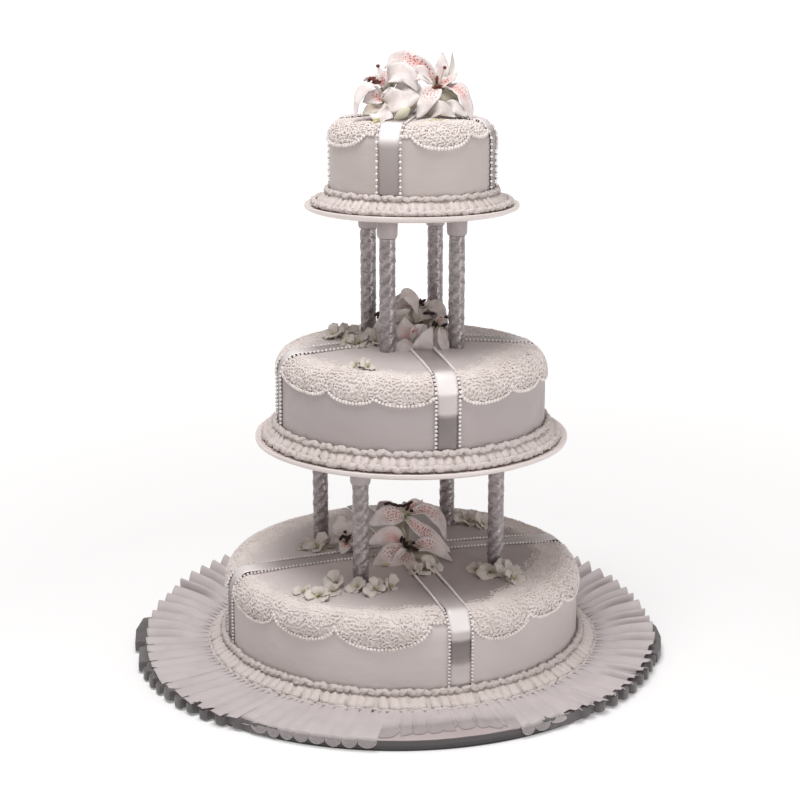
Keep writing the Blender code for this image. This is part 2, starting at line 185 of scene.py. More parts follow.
def plain_look(name):
    color, shade, roughness, clouds, grain, surface = PLAIN[name]
    look = Look(name, color, roughness, **FINISHES[surface])
    scale, low, high, detail = clouds
    look.mottle(scale, low, high, shade, detail)
    if grain:
        scale, detail, depth, strength = grain
        look.bump(look.noise(scale, detail), depth, strength)
    return look.material


CROWN_FADE = (0.012, 0.004)  # below a tier's top, where the crown's painted light and shade starts and is full


def icing_look(name, color, shade, crown=None, top=0.0, left=-9.0, right=-8.0):
    """Sugar paste. The crown may be given painted light and shade, a colour that comes in from left to right.
    The places given here are outside the cake, so that the crown has it all over."""
    look = Look(name, color, 0.5, Specular_IOR_Level=0.35)
    look.mottle(9, 0.35, 0.7, shade, 3)
    # Painted light and shade on the crown: a lighter top on the middle tier, the shadow of the middle plate on
    # the bottom tier
    if crown:
        place = look.axes(look.place())
        high = look.spread(place["Z"], top - CROWN_FADE[0], top - CROWN_FADE[1])
        look.tint(look.times(high, look.spread(place["X"], left, right)), crown)
    look.set("Roughness", look.spread(look.noise(60), 0.3, 0.7, 0.42, 0.62))
    look.bump(look.noise(45, 3, (1, 1, 2.2)), 0.0016, 0.5)
    look.bump(look.noise(320), 0.0003, 0.35)
    return look.material


def satin_look():
    """Satin with painted light from the attribute "fold": 1 gives a pale painted highlight where it bends over
    the edge, 0 a dark painted reflection where it hangs.
    """
    look = Look("satin", (160, 149, 146), 0.3, Specular_IOR_Level=0.6)
    look.tint(look.spread(look.noise(28, 2, (1, 1, 0.3)), 0.35, 0.7), (150, 139, 137))
    # The attribute paints the satin's light: below 0.5 a dark painted reflection where it hangs, above 0.5 a
    # pale painted highlight at the bend
    fold = look.attribute("fold")
    look.tint(look.spread(fold, 0.5, 0.0), (104, 96, 97))
    look.tint(look.spread(fold, 0.5, 1.0), (240, 233, 231))
    look.bump(look.noise(900, 1, (1, 1, 6)), 0.00012, 0.3)
    return look.material


def pillar_look():
    """Pearly plastic with painted shade in the hollows: darker where the attribute "groove" says that the relief
    is deep.
    """
    look = Look("pillar", (168, 158, 159), 0.3, Metallic=0.35)
    look.mottle(180, 0.38, 0.62, (146, 136, 137), 3)
    # painted shade where the relief is deep
    look.tint(look.spread(look.attribute("groove"), 0.3, 1.0, 0.0, 0.6), (104, 96, 98))
    look.set("Roughness", look.spread(look.noise(240), 0.3, 0.7, 0.2, 0.38))
    look.bump(look.noise(520), 0.0004, 0.5)
    return look.material


def board_look():
    """White paper on top, and down the side a grey band, painted reflection of the dark room in the foil, that
    darkens to a black foot.
    """
    look = Look("board", (182, 169, 168), 0.45)
    look.mottle(20, 0.4, 0.7, (174, 161, 160))
    height = look.axes(look.place())["Z"]
    waver = look.spread(look.noise(30, 1), 0.3, 0.7, -0.0004, 0.0004)
    level = look.math("ADD", height, waver)
    # The side's grey is painted reflection, darker in steps down to a black foot
    for start, full, color in ((0.0114, 0.0106, (84, 79, 80)), (0.0064, 0.0048, (66, 62, 63)),
                               (0.0026, 0.0018, (26, 24, 25))):
        look.tint(look.spread(level, start, full), color)
    look.bump(look.noise(160), 0.0002, 0.2)
    return look.material


def petal_look(name, color):
    """Sugar paste petals. The map "petal" runs across and along each one, "plan" is its size in dots, and
    "marks" holds how much blush, how many dots and how much green the petal has; the green is partly the petals'
    own and partly painted shade."""
    look = Look(name, color, 0.5, Specular_IOR_Level=0.3, Subsurface_Weight=0.15)
    look.shader.inputs["Subsurface Radius"].default_value = (0.002, 0.0012, 0.001)
    place = look.node("ShaderNodeUVMap", uv_map="petal").outputs["UV"]
    parts = look.axes(place)
    amounts = look.node("ShaderNodeSeparateColor", {0: look.attribute("marks", "Color")}).outputs
    aside = look.math("ABSOLUTE", look.math("MULTIPLY_ADD", parts["X"], 2.0, -1.0))
    along = parts["Y"]
    look.mottle(90, 0.4, 0.75, (202, 190, 188))
    # green: partly the petals' own colour, partly painted shade on petals in shadow
    look.tint(look.times(amounts["Blue"], look.spread(look.noise(140), 0.2, 0.6, 0.7, 1.0)), (168, 164, 138))
    rib = look.spread(aside, 0.1, 0.85, 1.0, 0.0)
    length = look.times(look.spread(along, 0.02, 0.2), look.spread(along, 0.75, 0.35))
    patchy = look.spread(look.noise(260), 0.3, 0.6, 0.6, 0.9)
    look.tint(look.times(rib, length, amounts["Red"], patchy), (218, 150, 142))
    plan = look.node("ShaderNodeUVMap", uv_map="plan").outputs["UV"]
    inputs = {"Vector": plan, "Scale": 1.0, "Randomness": 0.7}
    cells = look.node("ShaderNodeTexVoronoi", inputs, voronoi_dimensions="2D")
    dot = look.spread(cells.outputs["Distance"], 0.27, 0.19)
    dotted = look.times(look.spread(along, 0.66, 0.5), look.spread(aside, 0.78, 0.6))
    area = look.times(dotted, look.spread(along, 0.04, 0.1))
    look.tint(look.times(dot, area, amounts["Green"]), (150, 42, 46))
    look.tint(look.times(look.spread(along, 0.14, 0.0), 0.6), (176, 176, 134))
    veins = look.node("ShaderNodeTexWave", {"Vector": place, "Scale": 5.0, "Distortion": 1.5, "Detail": 1.0})
    look.bump(veins.outputs["Fac"], 0.0004, 0.3)
    look.bump(look.noise(500), 0.0002, 0.3)
    return look.material


def organza_look(name, color, shade, alpha, sheer=None):
    """Cloth with a fine thread grain. With sheer given, the attribute "sheer" says where it is as thin as that,
    and
    "valley" where painted shade darkens the pleats' hollows and a painted shadow the slits where they meet."""
    look = Look(name, color, 0.6, Sheen_Weight=0.3, Alpha=alpha)
    look.mottle(40, 0.35, 0.7, shade, 3)
    if sheer is not None:
        look.set("Alpha", look.spread(look.attribute("sheer"), 0.0, 1.0, alpha, sheer))
        valley = look.attribute("valley")
        # painted shade in the pleats' hollows, and a near-black painted shadow in the slits
        look.tint(look.spread(valley, 0.3, 1.0, 0.0, 0.55), (138, 129, 130))
        look.tint(look.spread(valley, 1.1, 1.8), (58, 54, 55))
    look.bump(look.noise(1600, 1), 0.0001, 0.4)
    return look.material


# ---------------------------------------------------------------- meshes


def make_piece(name, points, faces, look, slot, replaced=()):
    """A smooth shaded piece that rides with the cake."""
    mesh = bpy.data.meshes.new(name)
    mesh.from_pydata([tuple(p) for p in points], [], [tuple(f) for f in faces])
    mesh.update()
    mesh.shade_smooth()
    mesh.materials.append(look)
    obj = bpy.data.objects.new(name, mesh)
    bpy.context.scene.collection.objects.link(obj)
    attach(obj, "root")
    if replaced:
        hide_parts(*replaced)
    return obj


def mark(obj, name, values):
    """Gives every point of the piece a number that its material reads."""
    layer = obj.data.attributes.new(name, "FLOAT", "POINT")
    layer.data.foreach_set("value", np.array(values, "f"))


def solidify(obj, thickness):
    """Gives an open surface its thickness, in the mesh itself."""
    modifier = obj.modifiers.new("Thickness", "SOLIDIFY")
    modifier.thickness = thickness
    modifier.offset = 0.0
    graph = bpy.context.evaluated_depsgraph_get()
    mesh = bpy.data.meshes.new_from_object(obj.evaluated_get(graph))
    obj.modifiers.clear()
    old = obj.data
    obj.data = mesh
    bpy.data.meshes.remove(old)
    mesh.name = obj.name


def grid_faces(rows, columns, closed=False):
    """Quads over rows of points. closed joins the last row to the first."""
    faces = []
    for row in range(rows if closed else rows - 1):
        after = (row + 1) % rows
        for column in range(columns - 1):
            faces.append((row * columns + column, row * columns + column + 1,
                          after * columns + column + 1, after * columns + column))
    return faces


def ring_faces(rings, sides):
    """Quads between rings of points, each of which closes on itself."""
    return [(ring * sides + side, ring * sides + (side + 1) % sides,
             (ring + 1) * sides + (side + 1) % sides, (ring + 1) * sides + side)
            for ring in range(rings - 1) for side in range(sides)]


def lathe(name, profile, centre, steps, look, slot, replaced=()):
    """Turns a profile of (radius, height) pairs."""
    points = [around(360 * step / steps, radius, height) + centre
              for step in range(steps) for radius, height in profile]
    faces = grid_faces(steps, len(profile), closed=True)
    obj = make_piece(name, points, faces, look, slot, replaced)
    cage = bmesh.new()
    cage.from_mesh(obj.data)
    bmesh.ops.remove_doubles(cage, verts=cage.verts, dist=1e-6)
    bmesh.ops.recalc_face_normals(cage, faces=cage.faces)
    cage.to_mesh(obj.data)
    cage.free()
    obj.data.shade_smooth()


def bead(detail=1):
    """The points and faces of a ball of radius 1."""
    cage = bmesh.new()
    bmesh.ops.create_icosphere(cage, subdivisions=detail, radius=1)
    cage.verts.ensure_lookup_table()
    points = np.array([vert.co[:] for vert in cage.verts])
    faces = np.array([[vert.index for vert in face.verts] for face in cage.faces])
    cage.free()
    return points, faces


def tube_shape(sides, rings):
    """Points and quads of a tube along Z, with rings of (height, radius) whose ends are nearly closed."""
    points = []
    for height, radius in rings:
        for side in range(sides):
            turn = 2 * math.pi * side / sides
            points.append((radius * math.cos(turn), radius * math.sin(turn), height))
    return np.array(points), np.array(ring_faces(len(rings), sides))


def stamped(name, batches, look, slot, replaced=()):
    """One piece made of many copies: each batch is a shape and the matrices of its copies."""
    all_points, all_faces, first = [], [], 0
    for (points, faces), matrices in batches:
        if not len(matrices):
            continue
        spots = np.array([[list(row) for row in matrix] for matrix in matrices])
        moved = np.einsum("nij,pj->npi", spots[:, :3, :3], points) + spots[:, None, :3, 3]
        all_points.append(moved.reshape(-1, 3))
        starts = first + len(points) * np.arange(len(matrices))
        copies = (faces[None] + starts[:, None, None]).reshape(-1, faces.shape[1])
        all_faces.extend(copies.tolist())
        first += len(points) * len(matrices)
    return make_piece(name, np.concatenate(all_points).tolist(), all_faces, look, slot, replaced)


def placed(axes, point, size):
    """The matrix of a copy with these three axes at this point, scaled by size along them."""
    matrix = Matrix(axes).transposed().to_4x4()
    matrix.translation = point
    return matrix @ Matrix.Diagonal((*size, 1))


def spot(point, along, up, size):
    """The matrix of a copy at this point: its X along, its Z nearest up, scaled by size."""
    x = Vector(along).normalized()
    y = Vector(up).cross(x).normalized()
    return placed((x, y, x.cross(y)), point, size)


def ball_spot(point, size):
    return Matrix.Translation(point) @ Matrix.Diagonal((size, size, size, 1))


def link_spot(first, second, radius):
    """The matrix that lays a tube of length and radius 1 from one point to the next."""
    along = second - first
    side = along.orthogonal().normalized()
    other = along.normalized().cross(side)
    return placed((side, other, along.normalized()), (first + second) / 2, (radius, radius, along.length))


# ---------------------------------------------------------------- the tiers


class Tier:
    """One iced cake, measured on its CAD solid."""

    def __init__(self, name, crown, ribbon_turn, seed):
        low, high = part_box(f"cake_{name}")
        self.name = name
        self.centre = Vector(((low.x + high.x) / 2, (low.y + high.y) / 2, 0))
        self.radius = (high.x - low.x) / 2
        self.base = low.z
        self.top = high.z
        self.crown = crown
        self.ribbon_turn = ribbon_turn
        self.seed = Vector((seed, 2 * seed, 3 * seed))
        self.slope = math.atan(2 * crown / (self.radius - EDGE_RADIUS))
        self.crown_radius = self.radius - EDGE_RADIUS + EDGE_RADIUS * math.sin(self.slope)
        self.edge_centre = self.top - crown - EDGE_RADIUS * math.cos(self.slope)
        self.arc = EDGE_RADIUS * (math.pi / 2 - self.slope)

    def uneven(self, point):
        """How far the icing stands out or in here, from spreading it by hand."""
        broad = noise.noise(point * 14 + self.seed)
        strokes = noise.noise(Vector((point.x * 30, point.y * 30, point.z * 90)) + self.seed)
        return 0.0007 * broad + 0.00035 * strokes

    def skin(self, turn, way, lift=0.0):
        """The point this far over the icing, and its outward normal. A negative way is across the middle."""
        if way < 0:
            turn += 180
            way = -way
        if way <= 1:
            radius = way * self.crown_radius
            slope = self.slope * way
            height = self.top - self.crown * way**2
        elif way <= 2:
            slope = mix(self.slope, math.pi / 2, way - 1)
            radius = self.radius - EDGE_RADIUS + EDGE_RADIUS * math.sin(slope)
            height = self.edge_centre + EDGE_RADIUS * math.cos(slope)
        else:
            slope = math.pi / 2
            radius = self.radius
            height = mix(self.edge_centre, self.base, way - 2)
        point = around(turn, radius, height) + self.centre
        normal = around(turn, math.sin(slope), math.cos(slope))
        return point + normal * (lift + self.uneven(point)), normal

    def span(self, way):
        """Distance over the icing from the middle to this way."""
        parts = (min(way, 1) * self.crown_radius, min(max(way - 1, 0), 1) * self.arc,
                 max(way - 2, 0) * (self.edge_centre - self.base))
        return sum(parts)

    def way_at(self, span):
        if span <= self.crown_radius:
            return span / self.crown_radius
        if span <= self.crown_radius + self.arc:
            return 1 + (span - self.crown_radius) / self.arc
        return 2 + (span - self.crown_radius - self.arc) / (self.edge_centre - self.base)

    def radius_at(self, way):
        point, _ = self.skin(0, way)
        return -(point.y - self.centre.y)


TOP = Tier("top", 0.006, -16.0, 3.7)
MIDDLE = Tier("middle", 0.008, 14.3, 8.1)
BOTTOM = Tier("bottom", 0.006, 17.6, 5.2)
TIERS = {tier.name: tier for tier in (BOTTOM, MIDDLE, TOP)}


def tier_of(name):
    """The tier that a flower's name starts with."""
    return TIERS[name.split("_")[0]]


ICING_STEPS, ICING_RINGS = 144, 50


def add_icing(tier, look):
    """The sugar paste of one tier, closed underneath."""
    steps, rings = ICING_STEPS, ICING_RINGS
    length = tier.span(3)
    points = []
    for step in range(steps):
        for ring in range(1, rings + 1):
            way = tier.way_at(length * ring / rings)
            points.append(tier.skin(360 * step / steps, way)[0])
    faces = grid_faces(steps, rings, closed=True)
    points.append(tier.skin(0, 0)[0])
    points.append(Vector((tier.centre.x, tier.centre.y, tier.base)))
    middle, foot = len(points) - 2, len(points) - 1
    for step in range(steps):
        after = (step + 1) % steps
        faces.append((middle, step * rings, after * rings))
        faces.append((foot, after * rings + rings - 1, step * rings + rings - 1))
    make_piece(f"icing_{tier.name}", points, faces, look, "icing", [f"cake_{tier.name}"])


# ---------------------------------------------------------------- plates, board and pillars


ROUND_STEPS = 180  # steps round a plate or the board


def add_board(look):
    low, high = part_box("board")
    radius = high.x
    bevel = 0.0012
    profile = [(0, high.z), (radius - bevel, high.z)]
    profile += [(radius - bevel + bevel * math.sin(a), high.z - bevel + bevel * math.cos(a))
                for a in (0.4, 0.8, 1.2, math.pi / 2)]
    profile += [(radius, low.z + bevel), (radius - bevel, low.z), (0, low.z)]
    lathe("cake_board", profile, Vector(), ROUND_STEPS, look, "board", ["board"])


PLATE_THICKNESS = 0.005
# A plate's edge, as how far it is in from the rim and how high over the plate's top: the flat top, the lip
# that turns up, and the underside. The lip's heights are from its own top.
PLATE_TOP = ((0.0075, 0.0), (0.0045, 0.0004))
PLATE_LIP = ((0.0015, 0.0), (0.0004, 0.0), (0.0, -0.0008))
PLATE_UNDER = ((0.0, -0.0016), (0.0006, -0.0026), (0.003, -0.0034), (0.006, -PLATE_THICKNESS))


def add_plate(tier, ring_radius, ring_x, first_turn, look, socket_look):
    """A thin plate whose rim turns up a little, with a tapered socket under it for each pillar."""
    low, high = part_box(f"plate_{tier.name}")
    radius = (high.x - low.x) / 2
    upper = tier.base - 0.0003
    under = upper - PLATE_THICKNESS
    profile = [(0, upper)]
    for rows, level in ((PLATE_TOP, upper), (PLATE_LIP, high.z), (PLATE_UNDER, upper)):
        profile += [(radius - inwards, level + height) for inwards, height in rows]
    profile.append((0, under))
    name = f"plate_{tier.name}"
    lathe(f"{name}_round", profile, tier.centre, ROUND_STEPS, look, "plate", [name])
    foot = low.z
    profile = ((0, under), (0.0110, under), (0.0106, foot + 0.0030), (0.0100, foot + 0.0010),
               (0.0096, foot), (0, foot))
    for number in range(4):
        place = around(first_turn + 90 * number, ring_radius) + Vector((ring_x, 0, 0))
        lathe(f"socket_{tier.name}_{number + 1}", profile, place, 40, socket_look, "plate")


LEAF_RISE = 0.0127  # height of one embossed leaf
LEAVES = 4  # leaves round a pillar


def leaf_relief(turn, height, seed):
    """Height, 0 to 1, of overlapping leaves that slant up to the right, each one a little different."""
    column = LEAVES * turn / 360
    row = height / LEAF_RISE
    across, along = row - column, row + column * 0.6
    cell = Vector((math.floor(across), math.floor(along) % (LEAVES * 7), seed))
    high = 0.55 + 0.45 * noise.noise(cell * 3.71 + Vector((0.5, 0.5, 0.5)))
    left, up = across % 1, along % 1
    leaf = smooth(left / 0.22) * smooth((1 - left) / 0.6) * (0.45 + 0.55 * math.sin(math.pi * up))
    return high * leaf


PILLAR_ROWS, PILLAR_SIDES = 160, 36
PILLAR_CORE, PILLAR_RELIEF = 0.0076, 0.0020  # radius at the bottom of the relief, and its height


def add_pillar(node, look):
    """A column of embossed plastic, rough with slanting leaves."""
    low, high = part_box(node)
    centre = Vector(((low.x + high.x) / 2, (low.y + high.y) / 2, 0))
    rows, sides = PILLAR_ROWS, PILLAR_SIDES
    seed = low.x * 400 + low.y * 700
    points, painted_groove_shades = [], []
    for row in range(rows + 1):
        height = mix(low.z - 0.002, high.z, row / rows)
        for side in range(sides):
            turn = 360 * side / sides
            sine, cosine = math.sin(math.radians(turn)), math.cos(math.radians(turn))
            place = Vector((sine * 1.1, cosine * 1.1, height * 90 + seed))
            shift = noise.noise(place) * 14
            relief = leaf_relief(turn + shift, height + 0.0015 * noise.noise(place * 1.7), seed)
            crumple = 0.5 + 0.5 * noise.noise(Vector((sine * 3, cosine * 3, height * 380 + seed)))
            depth = 0.62 * relief + 0.38 * crumple
            points.append(around(turn, PILLAR_CORE + PILLAR_RELIEF * depth, height) + centre)
            # how much painted shade the hollows of the relief get
            painted_groove_shades.append(min(max(1.25 - 2.1 * depth, 0), 1))
    faces = ring_faces(rows + 1, sides)
    faces.append(tuple(reversed(range(sides))))
    faces.append(tuple(rows * sides + side for side in range(sides)))
    obj = make_piece(f"twist_{node}", points, faces, look, "pillar", [node])
    mark(obj, "groove", painted_groove_shades)


# ---------------------------------------------------------------- borders


def shell_shape():
    """A piped shell: fat at its head, tapering to a tail along +X, with twisted ridges from a star nozzle."""
    sides, rings = 15, 6
    points = []
    for ring in range(rings + 1):
        along = ring / rings
        body = math.sin(math.pi * min(along * 1.02 + 0.04, 1.0)) ** 0.6 * (1 - 0.4 * along)
        for side in range(sides):
            turn = 2 * math.pi * side / sides
            ridge = 1 + 0.22 * math.cos(5 * (turn + 1.6 * along))
            radius = max(body, 0.04) * ridge
            points.append((along - 0.4, radius * math.cos(turn), radius * math.sin(turn)))
    return np.array(points), np.array(ring_faces(rings + 1, sides))


def roughened(shape, seed, amount):
    """The shape with its points pushed about, as hand piping comes out."""
    points, faces = shape
    place = Vector((seed * 7.3, 0, 0))
    moved = [point * (1 + amount * noise.noise(Vector(point * (2.0, 1.6, 1.6)) + place)) for point in points]
    return np.array(moved), faces


def rope_spots(tier, rng, radius, height, pitch, thick, zigzag):
    """Shells laid head over tail round the tier, each turned a little one way and then the other."""
    count = round(2 * math.pi * radius / pitch)
    spots = []
    for number in range(count):
        turn = 360 * (number + rng.uniform(-0.14, 0.14)) / count
        side = zigzag * (-1) ** number + rng.uniform(-8, 8)
        point = around(turn, radius + rng.uniform(-0.0004, 0.0004),
                       height + rng.uniform(-0.0005, 0.0005)) + tier.centre
        along = around(turn + 90, 1)
        out = around(turn, 1)
        along = along * math.cos(math.radians(side)) + UP * math.sin(math.radians(side))
        size = thick * rng.uniform(0.88, 1.12)
        spots.append(spot(point, along, out, (pitch * rng.uniform(1.6, 1.85), size, size)))
    return spots


def flute_spots(tier, rng, top, foot, pitch, thick):
    """Short flat piped ribs side by side, from (radius, height) top out to foot."""
    count = round(2 * math.pi * top[0] / pitch)
    spots = []
    for number in range(count):
        turn = 360 * (number + rng.uniform(-0.12, 0.12)) / count
        first = around(turn, top[0], top[1] + rng.uniform(-0.0006, 0.0006)) + tier.centre
        lean = rng.uniform(-0.9, 0.9)
        second = around(turn + lean, foot[0] + rng.uniform(-0.0006, 0.0006), foot[1]) + tier.centre
        along = second - first
        across = around(turn + 90, 1)
        out = along.normalized().cross(across)
        size = thick * rng.uniform(0.9, 1.08)
        spots.append(placed((across * size, out * size * 0.55, along), (first + second) / 2, (1, 1, 1)))
    return spots


# The upper rope of shells: height, distance from the wall, pitch and thickness. The ribs: distance and height
# of their feet, pitch and thickness. The rope at the foot: distance, height, pitch and thickness.
BORDERS = {
    "top": ((0.0160, 0.0033, 0.0070, 0.0033), (0.0125, 0.0040, 0.0074, 0.0038),
            (0.0172, 0.0038, 0.0075, 0.0037)),
    "middle": ((0.0165, 0.0035, 0.0080, 0.0038), (0.0112, 0.0048, 0.0090, 0.0049),
               (0.0142, 0.0042, 0.0085, 0.0043)),
    "bottom": ((0.0150, 0.0047, 0.0080, 0.0041), (0.0180, 0.0036, 0.0096, 0.0057),
               (0.0205, 0.0026, 0.0085, 0.0026)),
}
KINDS = 5  # different shells and ribs
RIB_RINGS = ((-0.62, 0.15), (-0.56, 0.7), (-0.4, 0.86), (0.0, 0.92), (0.35, 1.02), (0.52, 0.9), (0.62, 0.15))


def add_border(tier, look, bed):
    """The piped border at a tier's foot: a rope of shells, ribs that lean out from it, and a lower rope."""
    rng = random.Random(f"border {tier.name}")
    rope, flute, foot = BORDERS[tier.name]
    rope_height, rope_out, rope_pitch, rope_thick = rope
    flute_out, flute_height, flute_pitch, flute_thick = flute
    foot_out, foot_height, foot_pitch, foot_thick = foot
    base, wall = tier.base, tier.radius
    ropes = rope_spots(tier, rng, wall + rope_out, base + rope_height, rope_pitch, rope_thick, 16)
    ribs = flute_spots(tier, rng, (wall + rope_out - 0.0006, base + rope_height - rope_thick),
                       (wall + flute_out, base + flute_height), flute_pitch, flute_thick)
    feet = rope_spots(tier, rng, wall + foot_out, base + foot_height, foot_pitch, foot_thick, 10)
    shells, batches = ropes + feet, []
    for shape, amount, spots in ((shell_shape(), 0.35, shells), (tube_shape(10, RIB_RINGS), 0.25, ribs)):
        batches += [(roughened(shape, kind, amount), spots[kind::KINDS]) for kind in range(KINDS)]
    stamped(f"piping_{tier.name}", batches, look, "piping", [f"border_{tier.name}"])
    profile = ((wall - 0.002, base + 0.001), (wall - 0.002, base + rope_height),
               (wall + rope_out, base + rope_height - 0.001), (wall + flute_out - 0.001, base + flute_height),
               (wall + foot_out, base + 0.002), (wall + foot_out - 0.001, base + 0.0003),
               (wall - 0.002, base + 0.001))
    lathe(f"piping_bed_{tier.name}", profile, tier.centre, 160, bed, "piping")


# ---------------------------------------------------------------- ribbons and pearls

RIBBON_WIDTH = 0.022
# Pitch and radius of the pearls, and how much the ribbon bows out at the rounded edge
PEARLS = {"top": (0.0031, 0.0017, 0.0022), "middle": (0.0042, 0.0018, 0.0028),
          "bottom": (0.0038, 0.0017, 0.0034)}
# Painted highlight and reflection on the satin on its way down: (way, paleness) pairs, with 0.5 for its own
# colour
SATIN_PAINTED_LIGHT = {
    "top": ((0.0, 0.5), (0.95, 0.55), (1.1, 0.9), (1.3, 1.0), (1.75, 1.0), (1.92, 0.72), (2.05, 0.54),
            (3.0, 0.48)),
    "middle": ((0.0, 0.5), (0.9, 0.55), (1.1, 0.75), (1.3, 0.95), (1.9, 1.0), (1.98, 0.72), (2.24, 0.74),
               (2.31, 0.12), (2.7, 0.25), (3.0, 0.45)),
    "bottom": ((0.0, 0.5), (0.92, 0.55), (1.15, 0.7), (1.3, 0.92), (1.85, 1.0), (1.95, 0.75), (2.08, 0.7),
               (2.12, 0.15), (2.35, 0.3), (2.48, 0.75), (3.0, 0.82)),
}
# The same painted light for the ribbon that crosses it
CROSSING_SATIN_PAINTED_LIGHT = ((0.0, 0.52), (0.8, 0.56), (1.0, 0.95), (1.4, 0.85), (1.9, 0.3), (2.4, 0.0), (3.0, 0.05))


RIBBON_FOOT = 0.0185  # how far up the wall a ribbon ends, at the top of the border
PEARL_LINE = RIBBON_WIDTH / 2 + 0.0012  # from a ribbon's middle line to its pearls
NEAR_MIDDLE = 0.3  # the way up to which a ribbon runs straight across the crown


def ribbon_lift(tier, number, way):
    """How far the ribbon's middle is off the icing: the second lies over the first, and both bow out."""
    crossing = RIBBON_WIDTH / tier.crown_radius
    over = 0.0009 * smooth(2 - abs(way) / crossing) if number == 2 else 0.0
    bow = PEARLS[tier.name][2] * math.exp(-((abs(way) - 1.12) / 0.28) ** 2)
    return 0.0003 + over + bow


def ribbon_point(tier, angle, way, side, lift):
    """A point on a ribbon or beside it, side metres from its middle line."""
    middle, _ = tier.skin(angle, way, lift)
    if abs(way) <= NEAR_MIDDLE:
        return middle + around(angle + 90, side)
    shift = math.degrees(math.asin(min(max(side / tier.radius_at(abs(way)), -1), 1)))
    point, _ = tier.skin(angle + (shift if way > 0 else -shift), way, lift)
    flat = middle + around(angle + 90, 1) * side
    return Vector((flat.x, flat.y, mix(point.z, flat.z, 0.5)))


def ribbon_ways(tier, pitch, foot):
    """Ways along a ribbon from its front foot over the top to its back foot, about pitch apart."""
    end = tier.span(foot)
    count = round(2 * end / pitch)
    ways = []
    for step in range(count + 1):
        span = mix(end, -end, step / count)
        ways.append(math.copysign(tier.way_at(abs(span)), span))
    return ways


def add_ribbons(tier, satin, pearl):
    """The two crossing ribbons of a tier, each with a row of pearls along both edges."""
    rng = random.Random(f"ribbon {tier.name}")
    pitch, ball, _ = PEARLS[tier.name]
    foot = tier.way_at(tier.span(3) - RIBBON_FOOT)
    ways = ribbon_ways(tier, 0.002, foot)
    pearl_ways = ribbon_ways(tier, pitch, foot)
    columns = 7
    for number, rows in ((1, SATIN_PAINTED_LIGHT[tier.name]), (2, CROSSING_SATIN_PAINTED_LIGHT)):
        angle = tier.ribbon_turn + 90 * (number - 1)
        points, painted_lights = [], []
        for way in ways:
            for column in range(columns):
                side = RIBBON_WIDTH * (column / (columns - 1) - 0.5)
                crown = 0.0006 * (1 - (2 * side / RIBBON_WIDTH) ** 2)
                ripple = 0.0004 * noise.noise(Vector((way * 6, side * 60, number + tier.radius * 9)))
                lift = crown + ripple + ribbon_lift(tier, number, way)
                points.append(ribbon_point(tier, angle, way, side, lift))
                # painted highlight and painted reflection along the ribbon
                painted_lights.append(read_off(rows, abs(way) + 0.06 * (side / RIBBON_WIDTH) ** 2))
        faces = grid_faces(len(ways), columns)
        name = f"ribbon_{tier.name}_{number}"
        obj = make_piece(f"satin_{tier.name}_{number}", points, faces, satin, "satin", [name])
        mark(obj, "fold", painted_lights)
        solidify(obj, 0.0003)
        length = 2 * tier.span(foot)
        spots = []
        for side in (-1, 1):
            for index, way in enumerate(pearl_ways):
                size = ball * (rng.uniform(0.92, 1.08) if tier.name != "top" or index % 2 else 0.45)
                spots.append(ball_spot(ribbon_point(tier, angle, way, side * PEARL_LINE, ball * 0.8), size))
        stamped(f"pearls_{tier.name}_{number}", [(bead(), spots)], pearl, "satin")


# ---------------------------------------------------------------- lace

# For each quarter from a ribbon to the next: where the lace starts on the crown at its two ends and between
# them, then the scalloped edge: cusp, low point, cusp and so on, each as a share of the way to the next ribbon
# and how far it is below the rounded edge, in millimetres. The quarters at the back are alike.
UNSEEN = ((0, -6), (0.17, 8), (0.34, -6), (0.5, 9), (0.67, -6), (0.83, 8), (1, -6))
LACE = {
    "bottom": (((0.93, 0.78, 0.84), ((0, -10), (0.12, 10), (0.247, -8), (0.373, 2), (0.481, -7), (0.614, 5),
                                     (0.734, -6), (0.866, 6), (1, -6))),
               ((0.86, 0.80, 0.84), UNSEEN),
               ((0.84, 0.80, 0.90), UNSEEN),
               ((0.93, 0.96, 0.90), ((0, -6), (0.193, 10), (0.313, -7), (0.457, 10), (0.584, -9), (0.746, 12.6),
                                     (0.94, -14), (0.97, -13), (1, -14)))),
    "middle": (((0.92, 0.66, 0.78), ((0, -4), (0.132, 9), (0.308, -2), (0.459, 6), (0.584, -4), (0.76, 6),
                                     (1, -6))),
               ((0.80, 0.72, 0.80), UNSEEN),
               ((0.80, 0.74, 0.84), UNSEEN),
               ((0.86, 0.84, 0.92), ((0, -8), (0.308, 5), (0.427, -5), (0.572, 8), (0.697, 0), (0.848, 8),
                                     (1, -2)))),
    "top": (((0.80, 0.48, 0.70), ((0, -9), (0.04, -9), (0.085, -11), (0.38, 3), (0.68, -12), (0.84, -6),
                                  (1, -12))),
            ((0.75, 0.60, 0.75), UNSEEN),
            ((0.75, 0.60, 0.75), UNSEEN),
            ((0.80, 0.70, 0.88), ((0, -7), (0.09, 1), (0.18, -6), (0.5, 3), (0.88, -11), (0.94, -10),
                                  (1, -11)))),
}
LACE_CELL = {"bottom": 0.0045, "middle": 0.0043, "top": 0.0038}
LACE_THREAD = 0.00125  # radius of a piped line at the scalloped edge; it is thinner further in
LACE_CLEAR = 0.0135  # from the middle line of a ribbon to the lace beside it
RIM_BEAD, RIM_PITCH = 0.0022, 0.0036  # radius and pitch of the beads along the scallops
RIM_STEPS = 2000  # places along a quarter where a bead could go


